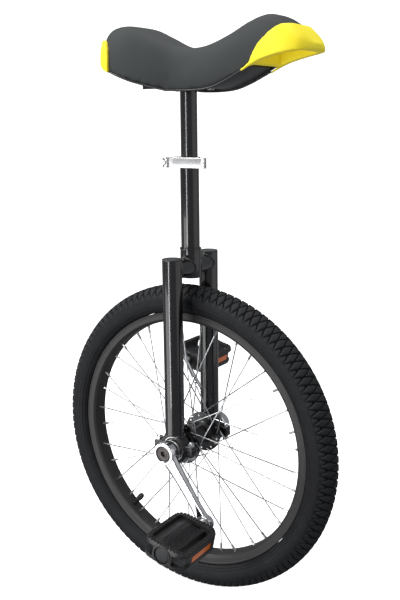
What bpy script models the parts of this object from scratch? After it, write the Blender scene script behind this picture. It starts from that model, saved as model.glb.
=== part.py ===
"""A 20 inch unicycle, one closed solid for each of its separate pieces.

Metres. The origin is on the ground under the axle, +X is forward, +Y is the rider's left and +Z is up.
The wheel turns about the axle, which lies along Y. Sides are named as the rider sees them, so right is -Y.
"""

import math

import bmesh
import bpy
from mathutils import Matrix, Vector

MM = 0.001
GAP = 0.3 * MM  # left between pieces that touch or that are fastened together

# Wheel: a 406 mm bead seat and a 48 mm wide tyre
WHEEL_RADIUS = 252 * MM
TREAD_FLAT = 7 * MM  # half width of the flat strip that stands on the ground
RIM_BED_RADIUS = 203 * MM
RIM_FLANGE_RADIUS = 209.5 * MM
RIM_INNER_RADIUS = 193.5 * MM
RIM_HALF_WIDTH = 15.75 * MM
RIM_WALL = 1.5 * MM
RING_STEPS = 48
VALVE_ANGLE = math.radians(-130)
SPOKES_PER_SIDE = 18
SPOKE_CROSS = math.radians(60)  # three crosses on 36 spokes
SPOKE_RADIUS = 1 * MM
WIRE_SIDES = 5
NIPPLE_Y = 3.5 * MM
NIPPLE_RADIUS = 2 * MM
NIPPLE_LENGTH = 12 * MM
VALVE_STEM_END = 170 * MM
FLANGE_Y = 30 * MM
FLANGE_RADIUS = 33 * MM
FLANGE_THICK = 3 * MM
SPOKE_CIRCLE = 28 * MM

# Bearings, 17 x 40 x 12 mm, and their holders
BEARING_Y = 50 * MM
BEARING_BORE_RADIUS = 8.5 * MM
BEARING_RADIUS = 20 * MM
BEARING_WIDTH = 12 * MM
BALL_CIRCLE = 14.5 * MM
BALL_RADIUS = 2.2 * MM
BALLS = 8
HOLDER_RADIUS = 25 * MM
HOLDER_WIDTH = 18 * MM
HOLDER_SPLIT = 0.6 * MM  # each half stops this far from the axle's plane
HOLDER_BORE_RADIUS = BEARING_RADIUS + GAP + 0.1 * MM
EAR_HEIGHT = 8 * MM
CAP_BOLT_X = 30 * MM

# Frame
LEG_RADIUS = 15 * MM
LEG_TOP = 552 * MM
CROWN_Z = 533 * MM
CROWN_TUBE_RADIUS = 14.3 * MM
SLEEVE_RADIUS = 16 * MM
SLEEVE_BOTTOM = 516 * MM
SLEEVE_TOP = 562 * MM
SEAT_TUBE_RADIUS = 14.3 * MM
SEAT_TUBE_TOP = 697 * MM
TUBE_WALL = 1.2 * MM
SLEEVE_BORE_RADIUS = SEAT_TUBE_RADIUS + 0.45 * MM  # of the crown's sleeve and of the clamp's collar
SEAT_SLOT_LENGTH = 35 * MM
SPLIT_HALF = 1.5 * MM  # half the width of the seat tube's slot and of the clamp's split
POST_RADIUS = 12.7 * MM
POST_BOTTOM = 595 * MM

# Quick release clamp at the top of the seat tube
CLAMP_Z = 691.5 * MM
CLAMP_HEIGHT = 15 * MM
CLAMP_RADIUS = 17.5 * MM
CLAMP_BOLT_X = -26 * MM
LEVER_PIVOT_Y = -20.5 * MM
LEVER_TIP_X = 43 * MM

# Cranks and pedals, measured outwards from the wheel's middle
CRANK_LENGTH = 120 * MM
CRANK_ANGLE = math.radians(-50.5)  # the right crank, forward and down
BOSS_RADIUS = 18 * MM
BOSS_INNER = 61 * MM
BOSS_OUTER = 83.7 * MM
EYE_INNER = 77.5 * MM
EYE_OUTER = 90 * MM
PEDAL_INNER = 101 * MM
PEDAL_OUTER = 195 * MM
PEDAL_HALF_LENGTH = 36.5 * MM
PEDAL_HALF_HEIGHT = 13.5 * MM
PEDAL_PITCH = math.radians(12)  # the front edge is down

# Saddle: the seat post's plate and the height at which the base sits
PLATE_TOP = 804.5 * MM
PLATE_THICK = 3 * MM
RECESS_TOP = 805 * MM
STUD_X = 30 * MM
STUD_Y = 15 * MM
CUSHION_LIFT = 16 * MM  # the cushion starts this far above the underside
BASE_INSET = 9 * MM
BASE_EDGE = 8 * MM

RIGHT = -1
LEFT = 1
SIDES = {"right": RIGHT, "left": LEFT}


# ---------------------------------------------------------------- materials


def material(name, colour, roughness, metallic=0.0):
    """A Principled material of one colour."""
    made = bpy.data.materials.new(name)
    made.use_nodes = True
    shader = made.node_tree.nodes["Principled BSDF"]
    shader.inputs["Base Color"].default_value = (*colour, 1)
    shader.inputs["Roughness"].default_value = roughness
    shader.inputs["Metallic"].default_value = metallic
    return made


def finishes():
    """Every finish on the unicycle, by name."""
    return {
        "black_paint": material("black_paint", (0.01, 0.01, 0.012), 0.2),
        "cast_black": material("cast_black", (0.015, 0.015, 0.017), 0.5),
        "anodised": material("anodised", (0.03, 0.03, 0.035), 0.35, 0.8),
        "rubber": material("rubber", (0.03, 0.031, 0.033), 0.8),
        "chrome": material("chrome", (0.8, 0.8, 0.82), 0.08, 1.0),
        "steel": material("steel", (0.6, 0.6, 0.6), 0.3, 1.0),
        "dark_steel": material("dark_steel", (0.12, 0.11, 0.11), 0.45, 0.8),
        "black_plastic": material("black_plastic", (0.02, 0.02, 0.022), 0.45),
        "cover": material("cover", (0.025, 0.026, 0.028), 0.6),
        "yellow": material("yellow", (0.95, 0.78, 0.04), 0.35),
        "orange": material("orange", (0.85, 0.2, 0.02), 0.25),
    }


# ---------------------------------------------------------------- building blocks


def finish_mesh(shape, name):
    """Turns a bmesh into a smooth-shaded mesh with its faces pointing out."""
    bmesh.ops.remove_doubles(shape, verts=shape.verts, dist=0.001 * MM)
    bmesh.ops.recalc_face_normals(shape, faces=shape.faces)
    mesh = bpy.data.meshes.new(name)
    shape.to_mesh(mesh)
    shape.free()
    mesh.shade_smooth()
    mesh.set_sharp_from_angle(angle=math.radians(35))
    return mesh


def place(name, mesh, finish=None, parent=None, matrix=Matrix()):
    """An object of this mesh. With no finish it is a cutter or a piece to join, left out of the model."""
    thing = bpy.data.objects.new(name, mesh)
    bpy.context.scene.collection.objects.link(thing)
    thing.parent = parent
    thing.matrix_local = matrix
    if finish is None:
        thing.hide_render = True
        thing.display_type = "WIRE"
    else:
        mesh.materials.append(finish)
    return thing


def axis_frame(name, origin, forward, up):
    """An empty whose X points forward and whose Z points along up."""
    x_axis = Vector(forward).normalized()
    z_axis = Vector(up).normalized()
    y_axis = z_axis.cross(x_axis)
    frame = bpy.data.objects.new(name, None)
    bpy.context.scene.collection.objects.link(frame)
    turn = Matrix((x_axis, y_axis, z_axis)).transposed().to_4x4()
    frame.matrix_world = Matrix.Translation(origin) @ turn
    return frame


def turned(name, outline, steps, phase=0.0):
    """Turns (radius, height) points about Z. An outline off the axis is a closed loop."""
    shape = bmesh.new()
    points = [shape.verts.new((radius, 0, height)) for radius, height in outline]
    edges = [shape.edges.new(pair) for pair in zip(points, points[1:])]
    if min(radius for radius, _ in outline) > 0:
        edges.append(shape.edges.new((points[-1], points[0])))
    bmesh.ops.spin(
        shape,
        geom=points + edges,
        cent=(0, 0, 0),
        axis=(0, 0, 1),
        angle=math.tau,
        steps=steps,
        use_merge=True,
    )
    bmesh.ops.rotate(shape, verts=shape.verts, cent=(0, 0, 0), matrix=Matrix.Rotation(phase, 3, "Z"))
    return finish_mesh(shape, name)


def tube_outline(radius, bore, bottom, top):
    """The outline of a plain tube, or of a rod where bore is 0."""
    return [(bore, top), (radius, top), (radius, bottom), (bore, bottom)]


def extruded(name, outline, bottom, top):
    """A prism that stands on the (x, y) outline between two heights."""
    shape = bmesh.new()
    base = shape.faces.new([shape.verts.new((x, y, bottom)) for x, y in outline])
    moved = bmesh.ops.extrude_face_region(shape, geom=[base])["geom"]
    corners = [item for item in moved if isinstance(item, bmesh.types.BMVert)]
    bmesh.ops.translate(shape, verts=corners, vec=(0, 0, top - bottom))
    return finish_mesh(shape, name)


def box(name, low, high):
    """A block between two corners."""
    outline = [(low[0], low[1]), (high[0], low[1]), (high[0], high[1]), (low[0], high[1])]
    return extruded(name, outline, low[2], high[2])


def lofted(name, rings):
    """Joins rings of points, all of one count, and closes both ends."""
    shape = bmesh.new()
    loops = [[shape.verts.new(point) for point in ring] for ring in rings]
    count = len(loops[0])
    for first, second in zip(loops, loops[1:]):
        for index in range(count):
            after = (index + 1) % count
            shape.faces.new((first[index], first[after], second[after], second[index]))
    shape.faces.new(loops[0])
    shape.faces.new(loops[-1])
    return finish_mesh(shape, name)


def wire(points, radii, sides, phase=0.0):
    """Rings of a round wire that follows the points, with one radius at each."""
    rings = []
    along = (points[-1] - points[0]).normalized()
    across = along.orthogonal().normalized()
    upright = along.cross(across)
    for point, radius in zip(points, radii):
        turns = [phase + math.tau * index / sides for index in range(sides)]
        rings.append([point + radius * (math.cos(t) * across + math.sin(t) * upright) for t in turns])
    return rings


def rounded_rectangle(half_x, half_y, radius, steps=4):
    """The outline of a rectangle with round corners."""
    outline = []
    for corner, (x, y) in enumerate(((1, 1), (-1, 1), (-1, -1), (1, -1))):
        for step in range(steps + 1):
            turn = math.pi / 2 * (corner + step / steps)
            outline.append(
                (
                    x * (half_x - radius) + radius * math.cos(turn),
                    y * (half_y - radius) + radius * math.sin(turn),
                )
            )
    return outline


def boolean(thing, other, operation):
    """Adds an exact Boolean of thing with another object."""
    modifier = thing.modifiers.new(operation.title(), "BOOLEAN")
    modifier.operation = operation
    modifier.solver = "EXACT"
    modifier.object = other


def cut(thing, *cutters):
    for cutter in cutters:
        boolean(thing, cutter, "DIFFERENCE")


def join(thing, *others):
    for other in others:
        boolean(thing, other, "UNION")


def along_y(x=0.0, y=0.0, z=0.0):
    """A place whose Z axis points along +Y."""
    return Matrix.Translation((x, y, z)) @ Matrix.Rotation(-math.pi / 2, 4, "X")


# ---------------------------------------------------------------- wheel


def ring(name, outline, finish, wheel):
    """A ring of the wheel, with a flat of its polygon straight down and its flats at the stated radius."""
    grown = 1 / math.cos(math.pi / RING_STEPS)
    outline = [(radius * grown, height) for radius, height in outline]
    mesh = turned(name, outline, RING_STEPS, phase=math.pi / RING_STEPS)
    return place(name, mesh, finish, parent=wheel)


def both_halves(half):
    """A closed outline from its half at positive heights, mirrored to negative heights."""
    return half + [(radius, -height) for radius, height in reversed(half)]


def radial(angle, distance):
    """A place on the wheel at this angle and radius, with its Z axis pointing outwards."""
    turn = Matrix.Rotation(-angle, 4, "Z") @ Matrix.Rotation(math.pi / 2, 4, "Y")
    return turn @ Matrix.Translation((0, 0, distance))


def make_rim(wheel, finish):
    """The double wall rim, its hollow open at the valve hole."""
    flange_inside = RIM_HALF_WIDTH - RIM_WALL
    half = [
        (RIM_BED_RADIUS, flange_inside),
        (RIM_FLANGE_RADIUS, flange_inside),
        (RIM_FLANGE_RADIUS, RIM_HALF_WIDTH),
        (RIM_INNER_RADIUS + 5 * MM, RIM_HALF_WIDTH),
        (RIM_INNER_RADIUS, RIM_HALF_WIDTH - 3 * MM),
    ]
    rim = ring("rim", both_halves(half), finish, wheel)
    hollow_half = [
        (RIM_BED_RADIUS - RIM_WALL, flange_inside),
        (RIM_INNER_RADIUS + 5.5 * MM, flange_inside),
        (RIM_INNER_RADIUS + RIM_WALL, RIM_HALF_WIDTH - 4.5 * MM),
    ]
    hollow = ring("rim_hollow", both_halves(hollow_half), None, wheel)
    hole_mesh = turned("valve_hole", tube_outline(4.4 * MM, 0, -15 * MM, 15 * MM), 12)
    hole = place("valve_hole", hole_mesh, parent=wheel, matrix=radial(VALVE_ANGLE, RIM_INNER_RADIUS))
    cut(rim, hollow, hole)


def make_tyre(wheel, finish):
    """The tyre, an arch that is open towards the rim."""
    outside = [
        (RIM_BED_RADIUS + 2 * GAP, 13.8 * MM),
        (RIM_FLANGE_RADIUS + GAP, 13.8 * MM),
        (224 * MM, 24 * MM),
        (237 * MM, 22.5 * MM),
        (WHEEL_RADIUS, TREAD_FLAT),
    ]
    inside = [
        (RIM_BED_RADIUS + 2 * GAP, 9.8 * MM),
        (211 * MM, 10.5 * MM),
        (225 * MM, 21.2 * MM),
        (235 * MM, 19.5 * MM),
        (WHEEL_RADIUS - 4.5 * MM, TREAD_FLAT),
    ]
    right = [(radius, -height) for radius, height in reversed(outside)]
    right += [(radius, -height) for radius, height in inside]
    ring("tyre", outside + right + inside[::-1], finish, wheel)


def make_inner_tube(wheel, finish, cap_finish):
    """The inner tube with its valve stem, hollow and open through the stem, and the cap on the stem."""
    skin = [
        (RIM_BED_RADIUS + 0.8 * MM, 9 * MM),
        (211.5 * MM, 9.8 * MM),
        (225 * MM, 20.5 * MM),
        (234.5 * MM, 18.8 * MM),
        (WHEEL_RADIUS - 5.2 * MM, TREAD_FLAT - 0.6 * MM),
    ]
    air = [
        (RIM_BED_RADIUS + 1.8 * MM, 7.8 * MM),
        (212 * MM, 8.6 * MM),
        (225 * MM, 19.2 * MM),
        (WHEEL_RADIUS - 6.5 * MM, 5.2 * MM),
    ]
    stem_length = RIM_BED_RADIUS + 1.5 * MM - VALVE_STEM_END
    tube = ring("inner_tube", both_halves(skin), finish, wheel)
    hollow = ring("inner_tube_air", both_halves(air), None, wheel)
    at_end = radial(VALVE_ANGLE, VALVE_STEM_END)
    stem_mesh = turned("valve_stem", tube_outline(4 * MM, 0, 0, stem_length), 12)
    bore_mesh = turned("valve_bore", tube_outline(2.6 * MM, 0, -1 * MM, stem_length + 6 * MM), 8)
    stem = place("valve_stem", stem_mesh, parent=wheel, matrix=at_end)
    bore = place("valve_bore", bore_mesh, parent=wheel, matrix=at_end)
    cut(tube, hollow)
    join(tube, stem)
    cut(tube, bore)
    cap_outline = [
        (0, -3 * MM),
        (4.9 * MM, -3 * MM),
        (4.9 * MM, 7.5 * MM),
        (4.35 * MM, 7.5 * MM),
        (4.35 * MM, -GAP),
        (0, -GAP),
    ]
    place("valve_cap", turned("valve_cap", cap_outline, 12), cap_finish, wheel, at_end)


def spoke_path(rim_angle, hub_angle, side):
    """The points and radii of one spoke with its nipple, from the hub flange's outer face to the rim."""
    face = FLANGE_Y + FLANGE_THICK / 2 + GAP + SPOKE_RADIUS
    hub_end = Vector((SPOKE_CIRCLE * math.cos(hub_angle), -SPOKE_CIRCLE * math.sin(hub_angle), 0))
    nipple_end = RIM_INNER_RADIUS - 2 * GAP
    rim_end = Vector((nipple_end * math.cos(rim_angle), -nipple_end * math.sin(rim_angle), 0))
    along = (rim_end - hub_end).normalized()
    bend = hub_end + 14 * MM * along
    hub_end.z = bend.z = side * face
    rim_end.z = side * NIPPLE_Y
    along = (rim_end - bend).normalized()
    nipple = rim_end - NIPPLE_LENGTH * along
    points = [hub_end, bend, nipple, nipple + 0.5 * MM * along, rim_end]
    return points, [SPOKE_RADIUS] * 3 + [NIPPLE_RADIUS] * 2


def spoke_set(name, side, direction, phase):
    """The spokes of one side that lean one way, as separate wires in one mesh."""
    shape = bmesh.new()
    first = math.radians(15 if side == RIGHT else 5)
    pitch = math.tau / SPOKES_PER_SIDE
    start = 1 if (direction > 0) == (side == RIGHT) else 0
    for index in range(start, SPOKES_PER_SIDE, 2):
        rim_angle = first + index * pitch
        points, radii = spoke_path(rim_angle, rim_angle + direction * SPOKE_CROSS, side)
        sections = wire(points, radii, WIRE_SIDES, phase)
        loops = [[shape.verts.new(point) for point in section] for section in sections]
        for low, high in zip(loops, loops[1:]):
            for corner in range(WIRE_SIDES):
                after = (corner + 1) % WIRE_SIDES
                shape.faces.new((low[corner], low[after], high[after], high[corner]))
        shape.faces.new(loops[0])
        shape.faces.new(loops[-1])
    return finish_mesh(shape, name)


def make_spokes(wheel, finish):
    """Each side's spokes, joined where they cross."""
    for word, side in SIDES.items():
        leading = place(f"spokes_{word}", spoke_set(f"spokes_{word}", side, 1, 0.0), finish, wheel)
        trailing = place(f"spokes_{word}_back", spoke_set("spokes_back", side, -1, 0.6), parent=wheel)
        join(leading, trailing)


def taper(name, inner, outer, growth):
    """The square taper on the axle's end, or with some growth the hole that takes it."""
    rings = []
    for height, half in ((inner, 7.1 * MM), (outer, 6.6 * MM)):
        side = half + growth
        corners = ((side, side), (-side, side), (-side, -side), (side, -side))
        rings.append([(x, y, height) for x, y in corners])
    return lofted(name, rings)


def make_hub(wheel, finish, side_frames):
    """The hub shell with its axle in one piece, with square ends drilled for the crank bolts."""
    shoulder = BEARING_Y - BEARING_WIDTH / 2 - GAP
    journal_end = BEARING_Y + BEARING_WIDTH / 2 + 1 * MM
    inner_face = FLANGE_Y - FLANGE_THICK / 2
    outer_face = FLANGE_Y + FLANGE_THICK / 2
    half = [
        (0, journal_end),
        (BEARING_BORE_RADIUS - GAP, journal_end),
        (BEARING_BORE_RADIUS - GAP, shoulder),
        (11 * MM, shoulder),
        (13 * MM, outer_face),
        (FLANGE_RADIUS, outer_face),
        (FLANGE_RADIUS, inner_face),
        (15 * MM, inner_face - 3 * MM),
    ]
    hub = place("hub", turned("hub", both_halves(half), 24), finish, wheel)
    for word, frame in side_frames.items():
        square = place(f"axle_end_{word}", taper("axle_end", journal_end - MM, 75 * MM, 0), parent=frame)
        drill_mesh = turned("axle_drilling", tube_outline(4.4 * MM, 0, 48 * MM, 76 * MM), 12)
        drill = place(f"axle_drilling_{word}", drill_mesh, parent=frame)
        join(hub, square)
        cut(hub, drill)


# ---------------------------------------------------------------- bearings and their holders


def make_bearing(word, y, steel):
    """A ball bearing's two rings, and its balls held in their cage."""
    half = BEARING_WIDTH / 2
    outer = tube_outline(BEARING_RADIUS, 17 * MM, -half, half)
    inner = tube_outline(12 * MM, BEARING_BORE_RADIUS, -half, half)
    here = along_y(0, y, WHEEL_RADIUS)
    place(f"bearing_outer_ring_{word}", turned("bearing_outer_ring", outer, 24), steel, matrix=here)
    place(f"bearing_inner_ring_{word}", turned("bearing_inner_ring", inner, 24), steel, matrix=here)
    band = tube_outline(BALL_CIRCLE + 0.7 * MM, BALL_CIRCLE - 0.7 * MM, -3.2 * MM, 3.2 * MM)
    cage = place(f"bearing_balls_{word}", turned("bearing_balls", band, 16), steel, matrix=here)
    balls = bmesh.new()
    for index in range(BALLS):
        turn = math.tau * (index + 0.5) / BALLS
        centre = (BALL_CIRCLE * math.cos(turn), BALL_CIRCLE * math.sin(turn), 0)
        bmesh.ops.create_uvsphere(
            balls, u_segments=6, v_segments=4, radius=BALL_RADIUS, matrix=Matrix.Translation(centre)
        )
    loose = place(f"loose_balls_{word}", finish_mesh(balls, "loose_balls"), matrix=here)
    join(cage, loose)


def make_holder(name, y, upper, finish):
    """Half of a bearing holder, with an ear at each side for its bolt."""
    sign = 1 if upper else -1
    half = HOLDER_WIDTH / 2
    ear_side = half - 2 * MM
    outline = tube_outline(HOLDER_RADIUS, HOLDER_BORE_RADIUS, -half, half)
    here = along_y(0, y, WHEEL_RADIUS)
    holder = place(name, turned(name, outline, 32), finish, matrix=here)
    middle = Matrix.Translation((0, y, WHEEL_RADIUS))
    for end in (-1, 1):
        start, stop = sorted((end * (BEARING_RADIUS + 2.5 * MM), end * (CAP_BOLT_X + 6 * MM)))
        low, high = sorted((sign * HOLDER_SPLIT, sign * EAR_HEIGHT))
        ear_mesh = box("ear", (start, -ear_side, low), (stop, ear_side, high))
        ear = place(f"{name}_ear_{end}", ear_mesh, matrix=middle)
        drill_mesh = turned("ear_drilling", tube_outline(3.5 * MM, 0, -30 * MM, 30 * MM), 12)
        at_bolt = middle @ Matrix.Translation((end * CAP_BOLT_X, 0, 0))
        drill = place(f"{name}_drilling_{end}", drill_mesh, matrix=at_bolt)
        join(holder, ear)
        cut(holder, drill)
    low, high = sorted((sign * HOLDER_SPLIT, -sign * 60 * MM))
    other_half = box("other_half", (-60 * MM, -60 * MM, low), (60 * MM, 60 * MM, high))
    cut(holder, place(f"{name}_other_half", other_half, matrix=middle))


def make_cap_fasteners(word, y, chrome):
    """The two bolts that close a bearing holder, and their nuts."""
    bolt_outline = [
        (0, EAR_HEIGHT + 6.5 * MM),
        (3 * MM, EAR_HEIGHT + 6.5 * MM),
        (3 * MM, -EAR_HEIGHT - GAP),
        (5 * MM, -EAR_HEIGHT - GAP),
        (5 * MM, -EAR_HEIGHT - 5.3 * MM),
        (0, -EAR_HEIGHT - 5.3 * MM),
    ]
    nut_outline = tube_outline(5.8 * MM, 3.9 * MM, EAR_HEIGHT + GAP, EAR_HEIGHT + 5.3 * MM)
    for place_word, end in (("front", 1), ("rear", -1)):
        here = Matrix.Translation((end * CAP_BOLT_X, y, WHEEL_RADIUS))
        bolt = turned("cap_bolt", bolt_outline, 12)
        nut = turned("cap_nut", nut_outline, 6)
        place(f"cap_bolt_{word}_{place_word}", bolt, chrome, matrix=here)
        place(f"cap_nut_{word}_{place_word}", nut, chrome, matrix=here)


# ---------------------------------------------------------------- frame


def make_leg(word, y, paint, cap_finish):
    """A fork leg, mitred over its bearing holder, with a plug in its open top."""
    tube_top = LEG_TOP - 2 * MM - GAP
    outline = tube_outline(LEG_RADIUS, LEG_RADIUS - 1.6 * MM, WHEEL_RADIUS + 10 * MM, tube_top)
    leg = place(f"leg_{word}", turned("leg", outline, 24), paint, matrix=Matrix.Translation((0, y, 0)))
    mitre_mesh = turned("mitre", tube_outline(HOLDER_RADIUS + GAP, 0, -30 * MM, 30 * MM), 32)
    cut(leg, place(f"mitre_{word}", mitre_mesh, matrix=along_y(0, y, WHEEL_RADIUS)))
    plug = [
        (0, LEG_TOP),
        (LEG_RADIUS - MM, LEG_TOP),
        (LEG_RADIUS, LEG_TOP - MM),
        (LEG_RADIUS, tube_top + GAP),
        (LEG_RADIUS - 2.1 * MM, tube_top + GAP),
        (LEG_RADIUS - 2.1 * MM, tube_top - 8 * MM),
        (0, tube_top - 8 * MM),
    ]
    place(f"leg_cap_{word}", turned("leg_cap", plug, 24), cap_finish, matrix=Matrix.Translation((0, y, 0)))


def make_crown(paint):
    """The crown: a sleeve round the seat tube and a short tube to each leg, their ends coped to fit."""
    sleeve = tube_outline(SLEEVE_RADIUS, SLEEVE_BORE_RADIUS, SLEEVE_BOTTOM, SLEEVE_TOP)
    place("crown_sleeve", turned("crown_sleeve", sleeve, 24), paint)
    for word, side in SIDES.items():
        stub = tube_outline(CROWN_TUBE_RADIUS, CROWN_TUBE_RADIUS - 1.8 * MM, -22 * MM, 22 * MM)
        here = along_y(0, side * BEARING_Y / 2, CROWN_Z)
        tube = place(f"crown_tube_{word}", turned("crown_tube", stub, 24), paint, matrix=here)
        leg_mesh = turned("leg_cope", tube_outline(LEG_RADIUS + GAP, 0, -30 * MM, 30 * MM), 24)
        sleeve_mesh = turned("sleeve_cope", tube_outline(SLEEVE_RADIUS + GAP, 0, -30 * MM, 30 * MM), 24)
        leg_place = Matrix.Translation((0, side * BEARING_Y, CROWN_Z))
        leg_cope = place(f"leg_cope_{word}", leg_mesh, matrix=leg_place)
        sleeve_cope = place(f"sleeve_cope_{word}", sleeve_mesh, matrix=Matrix.Translation((0, 0, CROWN_Z)))
        cut(tube, leg_cope, sleeve_cope)


def make_seat_tube(paint):
    """The seat tube, split at the back of its top so that the clamp can close it."""
    outline = tube_outline(SEAT_TUBE_RADIUS, SEAT_TUBE_RADIUS - TUBE_WALL, SLEEVE_BOTTOM, SEAT_TUBE_TOP)
    tube = place("seat_tube", turned("seat_tube", outline, 24), paint)
    slot_low = (-20 * MM, -SPLIT_HALF, SEAT_TUBE_TOP - SEAT_SLOT_LENGTH)
    slot_high = (-5 * MM, SPLIT_HALF, SEAT_TUBE_TOP + MM)
    cut(tube, place("seat_slot", box("seat_slot", slot_low, slot_high)))


def make_clamp(chrome, steel):
    """The quick release: a split collar with two ears, the bolt through them, its barrel and the lever."""
    half = CLAMP_HEIGHT / 2
    middle = Matrix.Translation((0, 0, CLAMP_Z))
    bolt_line = along_y(CLAMP_BOLT_X, 0, CLAMP_Z)
    collar_outline = tube_outline(CLAMP_RADIUS, SLEEVE_BORE_RADIUS, -half, half)
    collar = place("clamp_collar", turned("clamp_collar", collar_outline, 24), chrome, matrix=middle)
    ear_end = CLAMP_BOLT_X - 6 * MM
    ear_side = 12.5 * MM
    ears_mesh = box("clamp_ears", (ear_end, -ear_side, -half), (-13.5 * MM, ear_side, half))
    bore_mesh = turned("collar_bore", tube_outline(SLEEVE_BORE_RADIUS, 0, -20 * MM, 20 * MM), 24)
    split_low = (ear_end - MM, -SPLIT_HALF, -20 * MM)
    split_mesh = box("clamp_split", split_low, (-10 * MM, SPLIT_HALF, 20 * MM))
    hole_mesh = turned("clamp_hole", tube_outline(2.9 * MM, 0, -30 * MM, 30 * MM), 12)
    join(collar, place("clamp_ears", ears_mesh, matrix=middle))
    cut(
        collar,
        place("collar_bore", bore_mesh, matrix=middle),
        place("clamp_split", split_mesh, matrix=middle),
        place("clamp_hole", hole_mesh, matrix=bolt_line),
    )
    bolt_outline = [
        (0, ear_side + 5 * MM),
        (4.5 * MM, ear_side + 5 * MM),
        (4.5 * MM, ear_side + GAP),
        (2.5 * MM, ear_side + GAP),
        (2.5 * MM, LEVER_PIVOT_Y - 3 * MM),
        (0, LEVER_PIVOT_Y - 3 * MM),
    ]
    place("clamp_bolt", turned("clamp_bolt", bolt_outline, 12), steel, matrix=bolt_line)
    pivot = Matrix.Translation((CLAMP_BOLT_X, LEVER_PIVOT_Y, CLAMP_Z))
    barrel_mesh = turned("clamp_barrel", tube_outline(4.4 * MM, 0, -7 * MM, 7 * MM), 16)
    barrel = place("clamp_barrel", barrel_mesh, steel, matrix=pivot)
    thread_mesh = turned("barrel_thread", tube_outline(2.9 * MM, 0, -40 * MM, 10 * MM), 12)
    cut(barrel, place("barrel_thread", thread_mesh, matrix=bolt_line))
    make_lever(chrome, pivot, half)


def make_lever(chrome, pivot, half):
    """The clamp's lever: a fork round the barrel, and a flat arm that lies along the collar's side."""
    cam_mesh = turned("clamp_lever", tube_outline(7.4 * MM, 4.9 * MM, -half, half), 20)
    lever = place("clamp_lever", cam_mesh, chrome, matrix=pivot)
    reach = LEVER_TIP_X - CLAMP_BOLT_X
    arm_outline = [
        (5.2 * MM, 0.5 * MM),
        (5.2 * MM, -4.5 * MM),
        (12 * MM, -3.6 * MM),
        (reach - 6 * MM, -3 * MM),
        (reach, -1.5 * MM),
        (reach, 1 * MM),
        (reach - 6 * MM, -0.4 * MM),
        (12 * MM, -0.6 * MM),
    ]
    arm = place("lever_arm", extruded("lever_arm", arm_outline, -half, half), matrix=pivot)
    fork_gap = box("fork_gap", (-10 * MM, -10 * MM, -3.2 * MM), (4 * MM, 10 * MM, 3.2 * MM))
    join(lever, arm)
    cut(lever, place("fork_gap", fork_gap, matrix=pivot))


# ---------------------------------------------------------------- cranks and pedals


def make_crank(word, frame, chrome, dark):
    """A crank with its boss, tapered arm and pedal eye, and the bolt that holds it on the axle."""
    boss_mesh = turned(f"crank_{word}", tube_outline(BOSS_RADIUS, 0, BOSS_INNER, BOSS_OUTER), 24)
    crank = place(f"crank_{word}", boss_mesh, chrome, frame)
    sections = ((0, 12 * MM, 69.5 * MM, 82.5 * MM), (CRANK_LENGTH, 9.5 * MM, EYE_INNER + MM, EYE_OUTER - MM))
    rings = []
    for x, width, low, high in sections:
        edge = 3 * MM
        rings.append(
            [
                (x, -width, low + edge),
                (x, -width + edge, low),
                (x, width - edge, low),
                (x, width, low + edge),
                (x, width, high - edge),
                (x, width - edge, high),
                (x, -width + edge, high),
                (x, -width, high - edge),
            ]
        )
    eye_mesh = turned("crank_eye", tube_outline(12.5 * MM, 0, EYE_INNER, EYE_OUTER), 20)
    at_eye = Matrix.Translation((CRANK_LENGTH, 0, 0))
    join(
        crank,
        place(f"crank_arm_{word}", lofted("crank_arm", rings), parent=frame),
        place(f"crank_eye_{word}", eye_mesh, parent=frame, matrix=at_eye),
    )
    counterbore = BOSS_OUTER - 8 * MM
    recess_mesh = turned("bolt_recess", tube_outline(12.6 * MM, 0, counterbore, 2 * BOSS_OUTER), 20)
    thread_mesh = turned("pedal_thread", tube_outline(7.5 * MM, 0, 0, 2 * EYE_OUTER), 16)
    square_mesh = taper("square_hole", 56 * MM, 76.5 * MM, GAP + 0.1 * MM)
    cut(
        crank,
        place(f"square_hole_{word}", square_mesh, parent=frame),
        place(f"bolt_recess_{word}", recess_mesh, parent=frame),
        place(f"pedal_thread_{word}", thread_mesh, parent=frame, matrix=at_eye),
    )
    head = BOSS_OUTER - 0.7 * MM
    bolt_outline = [
        (0, head - 4 * MM),
        (4.6 * MM, head - 4 * MM),
        (4.6 * MM, head),
        (11 * MM, head),
        (12.2 * MM, head - MM),
        (12.2 * MM, counterbore + GAP),
        (4 * MM, counterbore + GAP),
        (4 * MM, 52 * MM),
        (0, 52 * MM),
    ]
    place(f"crank_bolt_{word}", turned("crank_bolt", bolt_outline, 18), dark, frame)


def make_pedal_spindle(word, frame, steel):
    """The spindle, screwed into the crank's eye, with the cone and locknut at its outer end."""
    outline = [
        (0, EYE_INNER),
        (7.1 * MM, EYE_INNER),
        (7.1 * MM, EYE_OUTER + GAP),
        (9 * MM, EYE_OUTER + GAP),
        (9 * MM, EYE_OUTER + 4 * MM),
        (6 * MM, EYE_OUTER + 5 * MM),
        (4.5 * MM, PEDAL_OUTER - 18 * MM),
        (7 * MM, PEDAL_OUTER - 18 * MM),
        (7 * MM, PEDAL_OUTER - 7 * MM),
        (0, PEDAL_OUTER - 7 * MM),
    ]
    at_eye = Matrix.Translation((CRANK_LENGTH, 0, 0))
    place(f"pedal_spindle_{word}", turned("pedal_spindle", outline[::-1], 12), steel, frame, at_eye)


def reflector_block(name, back, front, growth):
    """A reflector's block between two distances from the spindle, or with some growth its pocket."""
    low, high = sorted((back, front))
    middle = (PEDAL_OUTER + PEDAL_INNER) / 2
    half_height = 5.2 * MM + growth
    half_width = 24 * MM + growth
    return box(name, (low, -half_height, middle - half_width), (high, half_height, middle + half_width))


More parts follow.
